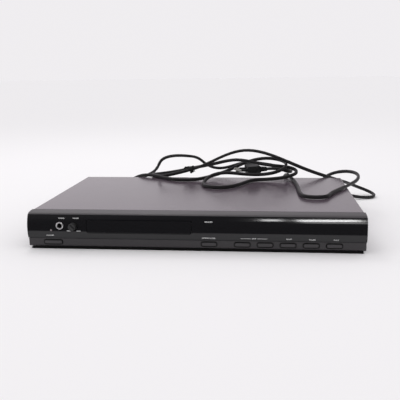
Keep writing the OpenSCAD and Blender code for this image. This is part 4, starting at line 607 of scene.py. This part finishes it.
# Lower lip: a matt near-black strip set back under the band, just clear of the table. It is painted shade:
# a dark sheet standing in for the shadow in the gap under the player, where the table would show lit.
lip_width, lip_low, lip_high, lip_y = 0.423, 0.0002, 0.0034, face_y + 0.0036
lip_corners, lip_thickness, lip_edge = (0.0006, 0.0002), 0.0015, 0.0003
lip = rounded_plate("front_shade_lip", lip_width, lip_high - lip_low, *lip_corners)
applied(lip, "SOLIDIFY", thickness=lip_thickness, offset=-1)
applied(lip, "BEVEL", width=lip_edge, segments=2, limit_method="ANGLE", angle_limit=radians(60))
bpy.ops.object.shade_smooth_by_angle(angle=radians(40))
lip.location = (0, lip_y, (lip_low + lip_high) / 2)
bpy.ops.object.transform_apply(location=True)
# The lip wears the same near-black as the key rims: painted shade.
lip.data.materials.append(painted_shade_black)
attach(lip, "player")


# Rear sockets: black sockets for picture and digital sound, and two blocks of phono sockets with
# brass rings. Each ring has a coloured plastic collar round its foot, white, red and black for
# sound and green, blue and red for the picture.
dress(part_black, "scart_socket", "svideo_socket", "optical_socket")
dress(turned_brass, "phono_sockets")
phono_ring, collar_wall, collar_depth, collar_back, collar_edge = 0.0042, 0.001, 0.0016, 0.13848, 0.0003
collar_tints = {"white": ((0.7, 0.7, 0.67), "cable_white"), "red": ((0.45, 0.02, 0.02), "lamp_red"),
                "black": ((0.015, 0.015, 0.016), "parts_black"), "green": ((0.02, 0.22, 0.06), "board_green"),
                "blue": ((0.02, 0.06, 0.35), None)}
collar_columns = [(-0.104, "white"), (-0.09, "red"), (-0.076, "black"),
                  (-0.044, "green"), (-0.03, "blue"), (-0.016, "red")]
collar_rows = (0.017, 0.031)
collar_looks = {tint: moulded_plastic("collar_" + tint, colour, 0.35)
                for tint, (colour, _) in collar_tints.items()}
bpy.ops.object.select_all(action="DESELECT")
bpy.ops.mesh.primitive_plane_add(size=1)
collar = bpy.context.object
collar.scale = (collar_wall, collar_depth, 1)
collar.location = (phono_ring + collar_wall / 2, collar_back + collar_depth / 2, 0)
bpy.ops.object.transform_apply(location=True, scale=True)
bpy.ops.object.mode_set(mode="EDIT")
bpy.ops.mesh.select_mode(type="VERT")
bpy.ops.mesh.select_all(action="SELECT")
bpy.ops.mesh.bevel(offset=collar_edge, segments=3, affect="VERTICES")
bpy.ops.mesh.delete(type="ONLY_FACE")
bpy.ops.mesh.select_all(action="SELECT")
bpy.ops.mesh.spin(steps=40, angle=2 * pi, center=(0, 0, 0), axis=(0, 1, 0))
bpy.ops.mesh.select_all(action="SELECT")
bpy.ops.mesh.remove_doubles(threshold=0.00001)
bpy.ops.mesh.normals_make_consistent(inside=False)
bpy.ops.object.mode_set(mode="OBJECT")
bpy.ops.object.shade_smooth_by_angle(angle=radians(50))


def pick_only(piece):
    """Selects one piece and nothing else."""
    bpy.ops.object.select_all(action="DESELECT")
    piece.select_set(True)
    bpy.context.view_layer.objects.active = piece


places = [(x, z, tint) for x, tint in collar_columns for z in collar_rows]
for i, (x, z, tint) in enumerate(places):
    piece = collar
    if i < len(places) - 1:
        pick_only(collar)
        bpy.ops.object.duplicate()
        piece = bpy.context.object
    piece.name = "phono_collar_%02d" % (i + 1)
    piece.location = (x, 0, z)
    pick_only(piece)
    bpy.ops.object.transform_apply(location=True)
    piece.data.materials.append(collar_looks[tint])
    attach(piece, "player")


# Table: a plain pale top that runs on out of sight behind the player. The air around it has the
# table's own far shade, so no edge shows, and the room in front of the player is dimmer.
table_colour, table_size = (0.868, 0.85, 0.87), 40
bpy.ops.object.select_all(action="DESELECT")
bpy.ops.mesh.primitive_plane_add(size=table_size, location=(0, 0, 0))
table = bpy.context.object
table.name = "table"
pale_top = bpy.data.materials.new("pale_top")
pale_top.use_nodes = True
top_shader = pale_top.node_tree.nodes["Principled BSDF"]
top_shader.inputs["Base Color"].default_value = (*table_colour, 1)
top_shader.inputs["Roughness"].default_value = 1
top_shader.inputs["Specular IOR Level"].default_value = 0
table.data.materials.append(pale_top)

room = bpy.data.worlds.new("room")
scene.world = room
room.use_nodes = True
air = room.node_tree


def air_glow(colour, level=None):
    """Light from all round, at full strength or at a level that changes with direction."""
    glow = air.nodes.new("ShaderNodeBackground")
    glow.inputs["Color"].default_value = (*colour, 1)
    if level:
        air.links.new(level, glow.inputs["Strength"])
    return glow.outputs["Background"]


def level_by_way(tilt, low, high, dim, full):
    """A level from dim to full as the direction, weighed by tilt, goes from low to high."""
    way = air.nodes.new("ShaderNodeTexCoord")
    weigh = air.nodes.new("ShaderNodeVectorMath")
    weigh.operation = "DOT_PRODUCT"
    weigh.inputs[1].default_value = tilt
    air.links.new(way.outputs["Generated"], weigh.inputs[0])
    level = air.nodes.new("ShaderNodeMapRange")
    for name, value in (("From Min", low), ("From Max", high), ("To Min", dim), ("To Max", full)):
        level.inputs[name].default_value = value
    air.links.new(weigh.outputs["Value"], level.inputs["Value"])
    return level.outputs["Result"]


rays = air.nodes.new("ShaderNodeLightPath")
seen = air.nodes.new("ShaderNodeMath")
seen.operation = "MAXIMUM"
air.links.new(rays.outputs["Is Camera Ray"], seen.inputs[0])
air.links.new(rays.outputs["Is Transmission Ray"], seen.inputs[1])
plain_level = level_by_way((0, -0.3, 0.35), low=-0.46, high=0.46, dim=0.53, full=1.13)
mirrored_level = level_by_way((-0.8, 0.95, 0.15), low=-0.35, high=1.1, dim=0.14, full=1.08)
mirrored = air_glow((0.84, 0.8, 0.835), mirrored_level)
last = air_glow((1, 1, 1), plain_level)
for chooser, other in ((rays.outputs["Is Glossy Ray"], mirrored), (seen.outputs[0], air_glow(table_colour))):
    mix = air.nodes.new("ShaderNodeMixShader")
    air.links.new(chooser, mix.inputs["Fac"])
    air.links.new(last, mix.inputs[1])
    air.links.new(other, mix.inputs[2])
    last = mix.outputs["Shader"]
air.links.new(last, air.nodes["World Output"].inputs["Surface"])


# Lamps: a soft box high behind the player to its left, and three small ones high in front of it,
# which show only as the bright streaks along the window's top edge.
for name, place, aim, size, watts, mirror_only in (
        ("top_box", (-0.4, 0.7, 1.2), (0, 0, 0), (0.5, 0.5), 2.2, False),
        ("streak_left", (0.108, -0.76, 0.84), (0.1, -0.1, 0.05), (0.055, 0.07), 0.19, True),
        ("streak_right", (0.272, -0.76, 0.85), (0.2, -0.1, 0.05), (0.175, 0.06), 0.86, True),
        ("streak_tail", (0.272, -0.76, 0.72), (0.2, -0.1, 0.05), (0.175, 0.16), 0.36, True)):
    bpy.ops.object.select_all(action="DESELECT")
    bpy.ops.object.light_add(type="AREA", location=place)
    lamp = bpy.context.object
    lamp.name = name
    lamp.data.shape = "RECTANGLE"
    lamp.data.size, lamp.data.size_y = size
    lamp.data.energy = watts
    lamp.visible_diffuse = not mirror_only
    lamp.rotation_euler = (Vector(aim) - Vector(place)).to_track_quat("-Z", "Y").to_euler()

scene.view_settings.view_transform = "Standard"
